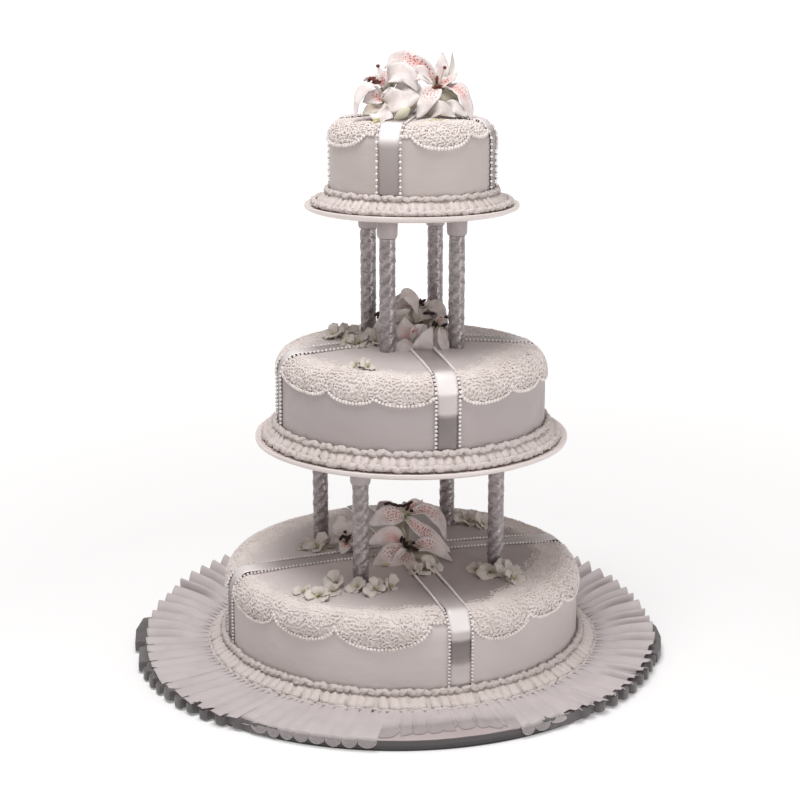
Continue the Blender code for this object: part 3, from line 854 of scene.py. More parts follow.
def scallop_depth(edge, part):
    """How far the edge hangs at this part of the quarter: each side of a low point is a quarter ellipse."""
    for left, low, right in zip(edge[0::2], edge[1::2], edge[2::2]):
        if part <= right[0]:
            cusp = left if part < low[0] else right
            across = min(abs(part - low[0]) / abs(cusp[0] - low[0]), 1)
            return mix(cusp[1], low[1], math.sqrt(1 - across**2)) * MM
    return edge[-1][1] * MM


def lace_bounds(tier, quarter, part):
    """Distances over the icing where the lace starts and ends, at this part of the way between ribbons."""
    (first, middle, last), scallops = LACE[tier.name][quarter]
    part = min(max(part, 0), 1)
    inner = mix(first, middle, smooth(2 * part)) if part < 0.5 else mix(middle, last, smooth(2 * part - 1))
    waver = 0.05 * noise.noise(Vector((part * 9, quarter * 5, tier.radius * 40)))
    outer = tier.crown_radius + tier.arc + scallop_depth(scallops, part)
    return min((inner + waver) * tier.crown_radius, outer - 0.004), outer


def lace_ends(tier, quarter, way):
    """The turn where the quarter starts, and how far from its two ribbons the lace is, in degrees."""
    clear = math.degrees(math.asin(min(LACE_CLEAR / max(tier.radius_at(way), 0.02), 1)))
    return tier.ribbon_turn + 90 * quarter, clear


def lace_turn(tier, quarter, part, way):
    """The turn of a point of the lace: part runs 0 to 1 between two ribbons, which keep their width."""
    start, clear = lace_ends(tier, quarter, way)
    return start + clear + (90 - 2 * clear) * part


def lace_part(tier, quarter, turn, way):
    start, clear = lace_ends(tier, quarter, way)
    return (turn - start - clear) / (90 - 2 * clear)


def lace_net(tier, quarter, rng):
    """Points and links of an irregular net of piped lines over the quarter's lace."""
    cell = LACE_CELL[tier.name]
    start = tier.ribbon_turn + 90 * quarter
    low = 0.40 * tier.crown_radius
    high = tier.crown_radius + tier.arc + 0.016
    mean = tier.crown_radius * 0.9
    seeds = []
    span = low
    while span < high:
        radius = tier.radius_at(tier.way_at(span))
        count = max(int(radius * math.pi / 2 / cell), 3)
        for number in range(-1, count + 2):
            turn = start + 90 * (number + rng.uniform(-0.38, 0.38)) / count
            seeds.append(Vector((math.radians(turn) * mean, span + rng.uniform(-0.36, 0.36) * cell)))
        span += cell * 0.86
    points, _, triangles, *_ = geometry.delaunay_2d_cdt(seeds, [], [], 0, 1e-7)
    middles, owners, thicks = {}, {}, {}
    for index, triangle in enumerate(triangles):
        flat = sum((points[corner] for corner in triangle), Vector((0, 0))) / 3
        way = tier.way_at(flat.y)
        turn = math.degrees(flat.x / mean)
        part = lace_part(tier, quarter, turn, way)
        if not 0 <= part <= 1:
            continue
        inner, outer = lace_bounds(tier, quarter, part)
        if inner < flat.y < outer - 0.0006:
            share = smooth((flat.y - inner) / (outer - inner) * 1.5)
            lift = mix(-0.0002, 0.0013, share) + rng.uniform(-0.0003, 0.0003)
            middles[index] = tier.skin(turn, way, lift)[0]
            thicks[index] = LACE_THREAD * mix(0.55, 1.0, share)
            for corner in range(3):
                edge = frozenset((triangle[corner], triangle[corner - 1]))
                owners.setdefault(edge, []).append(index)
    links = [pair for pair in owners.values() if len(pair) == 2 and rng.random() > 0.2]
    return middles, links, thicks


def lace_bed(tier, quarter):
    """The smeared icing that the net is piped on: thin, lumpy and sunk at its edges."""
    columns = round(tier.radius * math.pi / 2 / 0.0030)
    rows = 26
    points = []
    for column in range(columns + 1):
        part = column / columns
        inner, outer = lace_bounds(tier, quarter, part)
        for row in range(rows):
            share = row / (rows - 1)
            span = mix(inner, outer, share)
            way = tier.way_at(span)
            turn = lace_turn(tier, quarter, part, way)
            flat, _ = tier.skin(turn, way)
            lumps = noise.noise(flat * 420)
            lift = mix(-0.0004, 0.0009 + 0.0005 * lumps, smooth(share * 2.5) * smooth((1 - share) * rows / 2))
            points.append(tier.skin(turn, way, lift)[0])
    return points, grid_faces(columns + 1, rows)


def rim_spots(tier, quarter, rng):
    """Beads evenly along the scalloped edge."""
    spots = []
    last = None
    for number in range(RIM_STEPS + 1):
        part = number / RIM_STEPS
        _, outer = lace_bounds(tier, quarter, part)
        way = tier.way_at(outer)
        point, _ = tier.skin(lace_turn(tier, quarter, part, way), way, 0.0014)
        if last is None or (point - last).length > RIM_PITCH:
            spots.append(ball_spot(point, RIM_BEAD * rng.uniform(0.85, 1.12)))
            last = point
    return spots


def add_lace(tier, look, scallop):
    """The four quarters of a tier's lace: the net, the beads along its edge and the icing that it lies on."""
    thread = tube_shape(5, ((-0.62, 0.5), (0.0, 1.08), (0.62, 0.5)))
    for quarter in range(4):
        rng = random.Random(f"lace {tier.name} {quarter}")
        middles, links, thicks = lace_net(tier, quarter, rng)
        spots = [link_spot(middles[first], middles[second], thicks[first] * rng.uniform(0.75, 1.3))
                 for first, second in links]
        name = f"{tier.name}_{quarter + 1}"
        stamped(f"openwork_{name}", [(thread, spots)], look, "piping", [f"lace_{name}"])
        # its beads take the lighter copy of the lace's icing, painted highlight
        stamped(f"scallops_{name}", [(bead(), rim_spots(tier, quarter, rng))], scallop, "piping")
        make_piece(f"openwork_bed_{name}", *lace_bed(tier, quarter), look, "piping")


# ---------------------------------------------------------------- sugar flowers

FRONT = (0, -1, 0.35)
LEFTWARD = (-0.8, -0.6, 0.4)
RIGHTWARD = (0.8, -0.7, 0.4)
BACKWARD = (0, 0.8, 0.7)

# For each lily its stem's foot and its throat, then its petals: the points of the midrib, the width, the way
# that the upper face looks, and the shares of blush, dots and green, where they aren't 0; the green is partly
# the petals' own and partly painted shade. Lengths are millimetres from the middle of the tier, at the height of
# the crown's rim.
LILIES = {
    "top_1": ((6, 2, 5), (27, -13, 31), (
        (((24, -15, 34), (14, -14, 50), (-4, -8, 62), (-20, -6, 61), (-28, -6, 52)), 17, (-0.1, -1, 0.5),
         1.0, 1.0),
        (((27, -14, 34), (30, -8, 50), (31, 0, 68)), 15, FRONT, 0.25),
        (((31, -12, 36), (40, -6, 50), (41, 0, 68)), 6, (-0.5, -1, 0.3), 0.0, 0.0, 0.35),
        (((28, -16, 34), (37, -18, 41), (46, -14, 48)), 12, (-0.4, -0.7, 0.9), 0.9, 1.0),
        (((31, -18, 33), (46, -24, 32), (56, -28, 18), (61, -30, -1)), 17, (0.7, -0.9, 0.5), 0.75, 0.6),
        (((24, -18, 33), (17, -31, 25), (4, -45, 4)), 21, (-0.1, -1, 0.7), 0.3, 1.0),
        (((28, -18, 29), (38, -24, 21), (47, -28, 9)), 18, (0.1, -1, 0.2), 0.0, 0.0, 0.8),
        (((25, -8, 34), (32, 12, 42), (40, 22, 30)), 18, BACKWARD, 0.4, 0.4),
        (((16, -30, 3), (28, -38, 14), (44, -38, 5)), 17, (0.1, -1, 0.5), 0.0, 0.0, 0.15),
        (((28, -26, 5), (42, -33, 15), (55, -32, 5)), 15, (0.3, -1, 0.5), 0.0, 0.0, 0.1),
        (((-8, -24, 8), (-1, -26, 21), (7, -24, 33)), 17, (0.1, -1, 0.1), 0.0, 0.0, 0.5),
    )),
    "top_2": ((-6, 8, 6), (-29, -6, 32), (
        (((-26, -8, 31), (-19, -15, 46), (-5, -22, 46), (6, -26, 29)), 24, (-0.2, -1, 0.5), 0.1),
        (((-28, -9, 31), (-31, -8, 42), (-33, -4, 52)), 9, FRONT, 0.9, 0.9),
        (((-22, 0, 33), (-14, 6, 50), (-2, 10, 60), (8, 10, 55)), 20, (0.2, -0.9, 0.4), 0.1, 0.0, 0.1),
        (((-30, -4, 33), (-42, 6, 42), (-50, 12, 38)), 17, (-0.4, 0.2, 1), 0.5, 0.5),
        (((-28, 0, 33), (-28, 16, 48), (-32, 34, 40)), 19, BACKWARD, 0.4, 0.4),
        (((-24, 0, 33), (-8, 20, 46), (6, 38, 36)), 19, BACKWARD, 0.3, 0.4),
        (((-6, -14, 36), (8, -18, 48), (20, -20, 37)), 17, (0.2, -1, 0.5), 0.1),
        (((-20, -16, 22), (-4, -24, 34), (12, -24, 28)), 20, (0.1, -1, 0.6), 0.0, 0.0, 0.05),
    )),
    "top_3": ((-14, -8, 5), (-30, -33, 20), (
        (((-31, -33, 28), (-41, -35, 36), (-54, -41, 26), (-58, -47, 5)), 14, (-0.7, -1, 0.6), 0.15),
        (((-29, -34, 21), (-38, -38, 25), (-50, -40, 20)), 16, (0, -1, 0.4), 0.9, 1.0),
        (((-29, -34, 21), (-25, -39, 27), (-23, -38, 35)), 12, FRONT, 0.9, 1.0),
        (((-28, -36, 18), (-14, -46, 22), (8, -41, 27)), 25, (0.1, -1, 0.5), 0.1),
        (((-30, -37, 18), (-32, -46, 10), (-20, -57, 6)), 22, (-0.3, -1, 0.5)),
        (((-33, -36, 17), (-42, -42, 13), (-50, -44, 8)), 12, (-0.2, -1, 0.2), 0.3, 0.0, 0.55),
    )),
    "middle_1": ((2, 6, 9), (6, 0, 28), (
        (((-6, 6, 26), (-12, 8, 42), (-9, 8, 58)), 24, (0.1, -1, 0.1), 0.6, 0.3, 0.1),
        (((-15, 2, 47), (-6, 0, 57), (3, -2, 50), (6, -6, 36)), 15, (0.3, -1, 0.5), 0.2),
        (((0, -4, 28), (-13, -10, 36), (-2, -12, 43)), 16, FRONT, 0.1, 0.0, 0.3),
        (((12, -2, 30), (20, 0, 44), (31, -6, 42), (36, -14, 28)), 16, (0.3, -0.9, 0.8), 0.15, 0.0, 0.1),
        (((4, -6, 28), (10, -6, 37), (21, -8, 34)), 16, (0, -1, 0.7), 0.0, 0.0, 0.45),
        (((2, 8, 22), (1, 10, 38), (6, 8, 50)), 28, FRONT, 0.1, 0.0, 0.12),
        (((14, 6, 24), (18, 6, 36), (24, 2, 42)), 18, FRONT, 0.2, 0.0, 0.3),
        (((4, 2, 30), (-20, -4, 34), (-34, -8, 22), (-41, -6, 8)), 20, (-0.6, -0.8, 0.5), 0.3),
        (((6, 4, 30), (10, 22, 44), (14, 42, 32)), 20, BACKWARD, 0.4, 0.4),
        (((4, 4, 30), (-14, 20, 42), (-28, 32, 28)), 20, BACKWARD, 0.4, 0.4),
    )),
    "middle_2": ((14, -8, 9), (26, -14, 27), (
        (((29, -22, 27), (29, -30, 14), (24, -40, 0)), 14, (-0.3, -1, 0.2)),
        (((31, -22, 27), (33, -32, 14), (37, -42, 0)), 14, (0.5, -1, 0.2), 0.1),
        (((30, -16, 27), (38, -22, 18), (44, -26, 6)), 13, RIGHTWARD, 0.3, 0.4, 0.2),
        (((26, -12, 28), (32, -16, 34), (38, -20, 30)), 11, FRONT, 1.0, 1.0),
        (((28, -8, 28), (40, 4, 34), (50, 12, 22)), 18, (0.5, 0.5, 0.7), 0.3, 0.3),
    )),
    "middle_3": ((8, -18, 8), (8, -24, 12), (
        (((-4, -30, 9), (-6, -26, 23), (-6, -18, 37)), 21, FRONT, 0.7, 0.0, 0.15),
        (((6, -40, 0), (13, -42, 13), (21, -31, 29)), 20, (0.15, -1, 0.3), 0.15),
        (((0, -30, 14), (5, -26, 25), (12, -22, 30)), 10, FRONT, 1.0, 1.0),
        (((2, -34, 13), (-9, -45, 9), (-18, -54, -4)), 17, (-0.3, -1, 0.6)),
        (((-2, -38, 9), (-14, -45, 9), (-29, -50, 0)), 15, (-0.4, -1, 0.8), 0.0, 0.0, 0.1),
        (((4, -40, 4), (2, -50, 3), (-5, -60, -4)), 14, (0.1, -1, 0.8)),
    )),
    "bottom_1": ((4, 10, 7), (3, 0, 44), (
        (((2, -1, 45), (-15, -7, 47), (-38, -10, 38)), 25, (-0.1, -1, 0.7), 0.35, 1.0),
        (((5, 3, 46), (13, 6, 55), (25, 12, 55)), 14, (0, -1, 0.3), 1.0, 0.8),
        (((6, 1, 46), (27, 0, 51), (42, -5, 38), (47, -12, 20)), 17, (0.4, -1, 0.9), 0.4, 0.8),
        (((3, -3, 43), (18, -12, 34), (37, -21, 24), (52, -28, 12)), 17, (0.5, -1, 0.9), 0.45, 1.0),
        (((2, -2, 42), (-5, -8, 33), (1, -15, 25)), 13, (0, -1, 0.1), 0.2, 0.0, 0.6),
        (((4, 4, 45), (12, 26, 52), (18, 50, 38)), 22, BACKWARD, 0.4, 0.6),
        (((2, 4, 45), (-14, 24, 50), (-28, 46, 34)), 22, BACKWARD, 0.4, 0.6),
    )),
    "bottom_2": ((12, -8, 7), (8, -22, 18), (
        (((1, -22, 20), (-15, -22, 28), (-37, -26, 22)), 24, (-0.2, -1, 0.6), 0.8, 0.2),
        (((3, -20, 22), (-8, -14, 30), (-19, -10, 36)), 20, (0.1, -1, 0.2), 0.0, 0.0, 1.0),
        (((3, -26, 18), (-14, -39, 14), (-33, -51, 2)), 22, (-0.2, -1, 0.8), 0.25, 1.0),
        (((6, -28, 13), (1, -43, 9), (-18, -58, 2)), 23, (0.1, -1, 0.9), 0.3, 1.0),
        (((9, -25, 16), (30, -32, 22), (54, -38, 6)), 17, (0.1, -1, 0.7), 0.45, 1.0),
        (((10, -26, 13), (24, -34, 12), (40, -40, 4)), 16, (0.1, -1, 0.1), 0.1, 0.0, 0.85),
    )),
    "bottom_3": ((-50, 8, 7), (-60, 2, 18), (
        (((-60, 0, 16), (-62, -8, 13), (-66, -16, 6)), 15, (-0.2, -1, 0.4), 0.9, 0.9),
        (((-59, 4, 17), (-65, 14, 28), (-70, 26, 37)), 25, FRONT),
        (((-56, 0, 17), (-48, -8, 16), (-42, -14, 8)), 15, (0.4, -1, 0.6), 0.9, 0.9),
        (((-56, 6, 18), (-46, 16, 26), (-38, 28, 22)), 20, BACKWARD, 0.3, 0.4),
        (((-62, 4, 17), (-72, 6, 18), (-80, 8, 9)), 16, LEFTWARD, 0.3, 0.4),
    )),
}
# Anthers of each lily, each with the way that it lies, and the pistil's knob
STAMENS = {
    "top_1": (((25, -17, 41, (0.1, 0, 1)), (22, -19, 33, (1, 0, 0.1)), (29, -20, 32, (1, -0.2, 0.2)),
               (32, -19, 34, (1, 0, 0.4)), (34, -16, 36, (1, 0.3, 0.6)), (27, -20, 35, (1, 0.4, 0))),
              (33, -14, 53)),
    "top_2": (((-44, -8, 40, (0.3, 0, 1)), (-41, -10, 42, (1, 0, 0.2)), (-37, -12, 40, (1, 0, -0.3)),
               (-35, -12, 38, (1, 0.2, 0.3)), (-39, -6, 38, (0.8, 0.4, 0.6))), (-35, -2, 54)),
    "middle_1": (((9, 0, 49, (0.2, 0, 1)), (12, 0, 50, (1, 0, 0.6)), (-36, -8, 38, (1, 0, 0.8)),
                  (-34, -6, 36, (0.6, 0, 1)), (16, -9, 39, (1, 0, 0.1)), (21, -10, 39, (1, 0, -0.1))),
                 (12, -4, 47)),
    "middle_2": (((23, -18, 29, (0.4, 0, 1)), (26, -19, 27, (0.2, 0, 1)), (31, -20, 26, (1, 0, 0.3)),
                  (34, -20, 28, (1, 0, 0.5))), (36, -16, 36)),
    "bottom_1": (((-16, -2, 59, (1, 0, 0.2)), (-9, -3, 58, (1, 0, -0.2)), (-3, -3, 57, (1, 0, 0.1)),
                  (3, -2, 57, (1, 0, 0.5)), (8, -1, 59, (1, 0, 0.5)), (6, -4, 55, (0.5, 0, 1))), (10, -6, 52)),
    "bottom_2": (((-1, -27, 27, (0.3, 0, 1)), (2, -28, 25, (0.1, 0, 1)), (4, -29, 22, (0.6, 0, 1)),
                  (11, -32, 19, (1, 0, -0.2)), (15, -33, 17, (1, 0, -0.1)), (7, -31, 20, (1, 0, 0.4))),
                 (12, -30, 24)),
    "bottom_3": (((-66, -4, 21, (0.6, 0, 1)), (-62, -5, 22, (1, 0, -0.3)), (-58, -5, 22, (0.8, 0, 0.8)),
                  (-60, -6, 19, (0.2, 0, 1))), (-62, 0, 26)),
}
LILY_GRID, BLOSSOM_GRID = (20, 9), (9, 7)  # rows and columns of points in a petal
TRUMPET_RINGS, TRUMPET_SIDES = 10, 16
DOT = 0.0031  # a dotted petal has about one dot in a square of this side


class Petals:
    """The petals of one flower or cluster, joined as one piece."""

    def __init__(self, seed, grid):
        self.rng = random.Random(seed)
        self.rows, self.columns = grid
        self.points, self.faces, self.places, self.plans, self.marks = [], [], [], [], []

    def add_point(self, point, place, plan, marks):
        self.points.append(point)
        self.places.append(place)
        self.plans.append(plan)
        self.marks.append((*marks, 1.0))

    def join(self, rows, columns):
        """Faces over the last rows of points."""
        offset = len(self.points) - rows * columns
        self.faces.extend(tuple(corner + offset for corner in face) for face in grid_faces(rows, columns))

    def add(self, path, width, face, blush=0.0, dots=0.0, green=0.0, blunt=0.0, cup=0.35):
        """A petal along this path, widest past its middle, cupped at the root and turned back at the tip."""
        middle = curve_through(path, self.rows)
        chord = path[-1] - path[0]
        across = chord.cross(Vector(face)).normalized()
        length = sum((b - a).length for a, b in zip(middle, middle[1:]))
        phase = self.rng.uniform(0, 6.28)
        shift = self.rng.uniform(0, 9)
        for row, point in enumerate(middle):
            along = row / (self.rows - 1)
            ahead = middle[min(row + 1, self.rows - 1)] - middle[max(row - 1, 0)]
            tangent = ahead.normalized()
            side = (across - tangent * across.dot(tangent)).normalized()
            normal = side.cross(tangent)
            body = math.sin(math.pi * min(along, 0.999) ** (0.8 + blunt)) ** (0.8 - 0.35 * blunt)
            half = width / 2 * max(body, 0.34 * (1 - along / 0.35))
            for column in range(self.columns):
                aside = 2 * column / (self.columns - 1) - 1
                bend = half * cup * aside**2 * mix(1.6, -1.0, along)
                rib = -0.0005 * math.exp(-(aside / 0.2) ** 2)
                ruffle = width * 0.07 * abs(aside) ** 3 * math.sin(phase + 15 * along + 2 * aside)
                rough = 0.0004 * noise.noise(point * 160 + Vector((aside, 0, 0)))
                plan = (half * aside / DOT + shift, along * length / DOT + shift)
                self.add_point(point + side * half * aside + normal * (bend + rib + ruffle + rough),
                               (aside / 2 + 0.5, along), plan, (blush, dots, green))
        self.join(self.rows, self.columns)

    def add_trumpet(self, foot, throat, radius, green):
        """The closed outer tube from the stem to where the petals open."""
        axis = (throat - foot).normalized()
        side = axis.orthogonal().normalized()
        other = axis.cross(side)
        for ring in range(TRUMPET_RINGS):
            along = ring / (TRUMPET_RINGS - 1)
            bend = 0.003 * math.sin(math.pi * along)
            wide = mix(0.0016, radius, along**1.3)
            for number in range(TRUMPET_SIDES + 1):
                turn = 2 * math.pi * number / TRUMPET_SIDES
                lobe = 1 + 0.10 * along * math.cos(3 * turn)
                out = side * math.cos(turn) + other * math.sin(turn)
                self.add_point(foot.lerp(throat, along) + out * wide * lobe - UP * bend,
                               (number / TRUMPET_SIDES, mix(0.4, 0.02, along)), (0, 0),
                               (0, 0, green * (1 - 0.5 * along)))
        self.join(TRUMPET_RINGS, TRUMPET_SIDES + 1)

    def finish(self, name, look, slot, replaced, thickness):
        obj = make_piece(name, self.points, self.faces, look, slot, replaced)
        mesh = obj.data
        corners = np.empty(len(mesh.loops), int)
        mesh.loops.foreach_get("vertex_index", corners)
        for layer, values in (("petal", self.places), ("plan", self.plans)):
            mesh.uv_layers.new(name=layer).uv.foreach_set("vector", np.array(values, "f")[corners].ravel())
        marks = mesh.attributes.new("marks", "FLOAT_COLOR", "POINT")
        marks.data.foreach_set("color", np.array(self.marks, "f").ravel())
        solidify(obj, thickness)
        obj.data.shade_smooth()


def curve_through(path, count):
    """Points spread along a smooth curve through all of the path's points."""
    ends = [path[0] * 2 - path[1], *path, path[-1] * 2 - path[-2]]
    points = []
    for number in range(count):
        place = number / (count - 1) * (len(path) - 1)
        first = min(int(place), len(path) - 2)
        share = place - first
        a, b, c, d = ends[first:first + 4]
        points.append(0.5 * (2 * b + (c - a) * share + (2 * a - 5 * b + 4 * c - d) * share**2
                             + (3 * b - a - 3 * c + d) * share**3))
    return points


def rim_place(tier, place):
    """A place given in millimetres from the middle of the tier, at the height of the crown's rim."""
    rim = Vector((tier.centre.x, tier.centre.y, tier.top - tier.crown))
    return rim + Vector(place) * MM


def thread_spots(start, end, rise, radius):
    """A thin stalk from one point to another, bowed up by rise."""
    line = curve_through([start, (start + end) / 2 + UP * rise, end], 7)
    return [link_spot(a, b, radius) for a, b in zip(line, line[1:])]


def add_lilies(petal, anther_looks, thread_look):
    rod = tube_shape(6, ((-0.55, 0.6), (-0.45, 1.0), (0.45, 1.0), (0.55, 0.6)))
    for name, (foot, throat, rows) in LILIES.items():
        tier = tier_of(name)
        start = rim_place(tier, throat)
        lily = Petals(f"lily {name}", LILY_GRID)
        for path, width, face, *shares in rows:
            lily.add([rim_place(tier, point) for point in path], width * MM, face, *shares)
        lily.add_trumpet(rim_place(tier, foot), start, 0.0068, 0.5)
        lily.finish(f"petals_{name}", petal, "lily", [f"lily_{name}"], 0.0005)
        if name not in STAMENS:
            continue
        anthers, knob = STAMENS[name]
        grains, threads = [], []
        for *place, lie in anthers:
            end = rim_place(tier, place)
            grains.append(spot(end, lie, (0.1, -1, 0.3), (0.0044, 0.0017, 0.0015)))
            threads += thread_spots(start, end, 0.003, 0.00045)
        tip = rim_place(tier, knob)
        threads += thread_spots(start, tip, 0.002, 0.0006)
        grains.append(spot(tip, (1, 0, 0), (0, -1, 0.3), (0.0021, 0.0019, 0.0017)))
        stamped(f"anthers_{name}", [(bead(2), grains)], anther_looks[tier.name], "lily")
        stamped(f"filaments_{name}", [(rod, threads)], thread_look, "lily")


# Small flowers, in millimetres from the middle of the tier: the CAD node they stand for, and each one's
# place, size and lean
BLOSSOMS = {
    "middle_1": ((-81, 35, 12, -30), (-70, 46, 11, 40), (-74, 24, 9, -60)),
    "middle_2": ((-55, -17, 12, -20), (-66, -12, 9, -70)),
    "middle_3": ((-38, -16, 12, 30), (-46, -6, 10, 0)),
    "middle_4": ((-55, -103, 7, -50), (-44, -106, 7, 30), (-48, -98, 6, 0)),
    "bottom_1": ((-28, -119, 14, 30), (-45, -113, 12, -40), (-14, -112, 9, 80)),
    "bottom_2": ((92, -70, 14, 20), (78, -62, 11, -60), (108, -66, 12, 60), (114, -84, 11, 40)),
    "bottom_3": ((-92, 4, 14, -30), (-106, 12, 10, -70), (-80, 14, 10, 30)),
    "bottom_4": ((76, 98, 14, 20), (90, 90, 12, 60), (62, 104, 10, -40)),
    "bottom_5": ((-68, -102, 12, -30), (-84, -134, 11, -20), (-98, -122, 9, -50), (-72, -122, 11, 0)),
    "bottom_6": ((22, -66, 12, 10), (31, -63, 9, 60), (14, -69, 9, -60)),
}


def add_blossoms(petal, heart_look):
    for name, flowers in BLOSSOMS.items():
        tier = tier_of(name)
        cluster = Petals(f"blossom {name}", BLOSSOM_GRID)
        rng = cluster.rng
        hearts = []
        for x, y, size, lean in flowers:
            turn = math.degrees(math.atan2(x, -y))
            way = tier.way_at(math.hypot(x, y) * MM)
            foot, up = tier.skin(turn, way, 0.0012)
            aside = Matrix.Rotation(math.radians(lean) * 0.6, 3, "Y")
            forward = Matrix.Rotation(math.radians(25), 3, "X")
            axis = (aside @ forward @ up).normalized()
            if axis.dot(up) < 0.5:
                axis = (axis + up).normalized()
            side = axis.orthogonal().normalized()
            other = axis.cross(side)
            first = rng.uniform(0, 72)
            count = rng.choice((6, 7, 8))
            for number in range(count):
                angle = math.radians(first + 360 * number / count + rng.uniform(-12, 12))
                out = side * math.cos(angle) + other * math.sin(angle)
                reach = size * MM * rng.uniform(0.7, 1.4)
                rise = rng.uniform(0.1, 0.75)
                path = [foot + out * 0.001, foot + out * reach * 0.55 + axis * reach * rise * 0.75,
                        foot + out * reach + axis * reach * rise]
                path = [above(tier, point, 0.0008) for point in path]
                cluster.add(path, reach * rng.uniform(0.85, 1.1), axis, 0.0, 0.0, 0.12, blunt=0.7, cup=0.3)
            for _ in range(3):
                shift = side * rng.uniform(-1, 1) + other * rng.uniform(-1, 1)
                place = foot + shift * 0.0022 + axis * rng.uniform(0.002, 0.005)
                hearts.append(spot(place, axis + side * rng.uniform(-1, 1), other, (0.0022, 0.0009, 0.0009)))
            leaf = math.radians(rng.uniform(0, 360))
            out = side * math.cos(leaf) + other * math.sin(leaf)
            place = above(tier, foot + out * size * MM * 0.55, 0.0022)
            hearts.append(spot(place, out, axis, (0.0038, 0.0016, 0.0010)))
        cluster.finish(f"flowers_{name}", petal, "blossom", [f"blossom_{name}"], 0.0006)
        stamped(f"hearts_{name}", [(bead(), hearts)], heart_look, "blossom")


def above(tier, point, clear):
    """The point, raised where it would be less than clear over the icing."""
    x, y = point.x - tier.centre.x, point.y - tier.centre.y
    way = tier.way_at(math.hypot(x, y))
    if way > 1:
        return point
    floor, _ = tier.skin(math.degrees(math.atan2(x, -y)), way, clear)
    return Vector((point.x, point.y, max(point.z, floor.z)))


BUD_SHARES = (0, 0.06, 0.15, 0.3, 0.45, 0.6, 0.75, 0.87, 0.95, 1.0)
# The green sepals: the tier, the way that they lie, what they face, their half width, and then the place and
# half length of each in millimetres
SEPALS = (
    (TOP, (1, 0.2, 0.3), (0, -0.6, 1), 0.0016,
     ((-38, -58, 2, 5), (-31, -59, 1, 5), (-24, -58, 1, 4), (-19, -58, 2, 3), (20, -52, 3, 5), (27, -52, 3, 4),
      (-2, -30, 19, 6), (2, -31, 23, 6), (-36, -54, 4, 4))),
    (MIDDLE, (1, -0.2, 0.1), (0, -0.4, 1), 0.0018,
     ((12, -45, 0, 6), (34, -46, 1, 7), (38, -44, 1, 6), (36, -26, 6, 4))),
    (BOTTOM, (1, 0.2, 0.1), (0, -0.4, 1), 0.0018, ((-18, -52, 7, 5), (10, -42, 7, 5))),
)


def add_bud(petal, heart_look):
    """The closed bud among the top lilies, and the green sepals at the foot of all the flowers."""
    low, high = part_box("bud_top")
    length = (high.x - low.x) * 0.55
    rings = [(share - 0.5, 0.5 * math.sin(math.pi * (0.03 + 0.94 * share)) ** 0.8 * (1 + 0.2 * share))
             for share in BUD_SHARES]
    along = Vector((0.85, 0.1, 0.62)).normalized()
    middle = (low + high) / 2
    matrix = link_spot(middle - along * length, middle + along * length, 0.0092)
    stamped("bud", [(tube_shape(14, rings), [matrix])], petal, "lily", ["bud_top"])
    spots = [spot(rim_place(tier, place), lie, up, (size * MM, wide, 0.0011))
             for tier, lie, up, wide, leaves in SEPALS for *place, size in leaves]
    stamped("sepals", [(bead(2), spots)], heart_look, "lily")


# ---------------------------------------------------------------- frill

# By turn from the front, to the right as plus: how far out the white frill reaches
FRILL_REACH = ((-180, 0.268), (-125, 0.268), (-90, 0.2765), (-76, 0.2765), (-62, 0.2780), (-50, 0.2800),
               (-39, 0.2800), (-34, 0.2700), (-4, 0.2690), (-2, 0.2640), (4, 0.2570), (18, 0.2550), (24, 0.2640),
               (34, 0.2700), (42, 0.2740), (56, 0.2750), (75, 0.2775), (88, 0.2775), (125, 0.267), (180, 0.268))
# how wide and how deep a pleat is
PLEAT_WIDTH = ((-180, 0.0195), (-36, 0.0195), (-34, 0.0160), (32, 0.0160), (36, 0.0190), (180, 0.0190))
PLEAT_DEPTH = ((-180, 0.0054), (-90, 0.0048), (-80, 0.0015), (-40, 0.0007), (-6, 0.0005), (2, 0.0016),
               (24, 0.0016), (32, 0.0012), (50, 0.0020), (70, 0.0034), (100, 0.0046), (180, 0.0050))
# how high its outer edge stands over its inner one
FRILL_LIFT = ((-180, 0.0230), (-125, 0.0230), (-90, 0.0070), (-76, 0.0000), (-60, -0.0020), (-36, -0.0020),
              (-4, -0.0010), (3, 0.0), (24, 0.0), (32, -0.0010), (60, -0.0015), (74, 0.0010), (88, 0.0070),
              (125, 0.0230), (180, 0.0230))
# 1 where it hangs over the board's side, where its edge is cut in teeth, and where it leaves the board bare
FRILL_HANG = ((-180, 0.0), (-36, 0.0), (-31, 1.0), (-3, 1.0), (-2.8, 0.0), (24, 0.0), (28, 1.0), (34, 1.0),
              (39, 0.0), (180, 0.0))
TEETH = ((-180, 0.0), (-84, 0.0), (-80, 1.0), (-36, 1.0), (-33, 0.0), (34, 0.0), (38, 1.0), (78, 1.0),
         (84, 0.0), (180, 0.0))
GAP = ((-180, 0.0), (-3, 0.0), (-2.8, 1.0), (24, 1.0), (27, 0.0), (180, 0.0))
# how far the edge draws back where two pleats meet
LOBE_NOTCH = ((-180, 0.004), (-90, 0.004), (-80, 0.008), (-62, 0.010), (-38, 0.009), (-33, 0.003), (-3, 0.003),
              (1, 0.011), (23, 0.011), (27, 0.003), (34, 0.003), (40, 0.007), (78, 0.007), (86, 0.004),
              (180, 0.004))
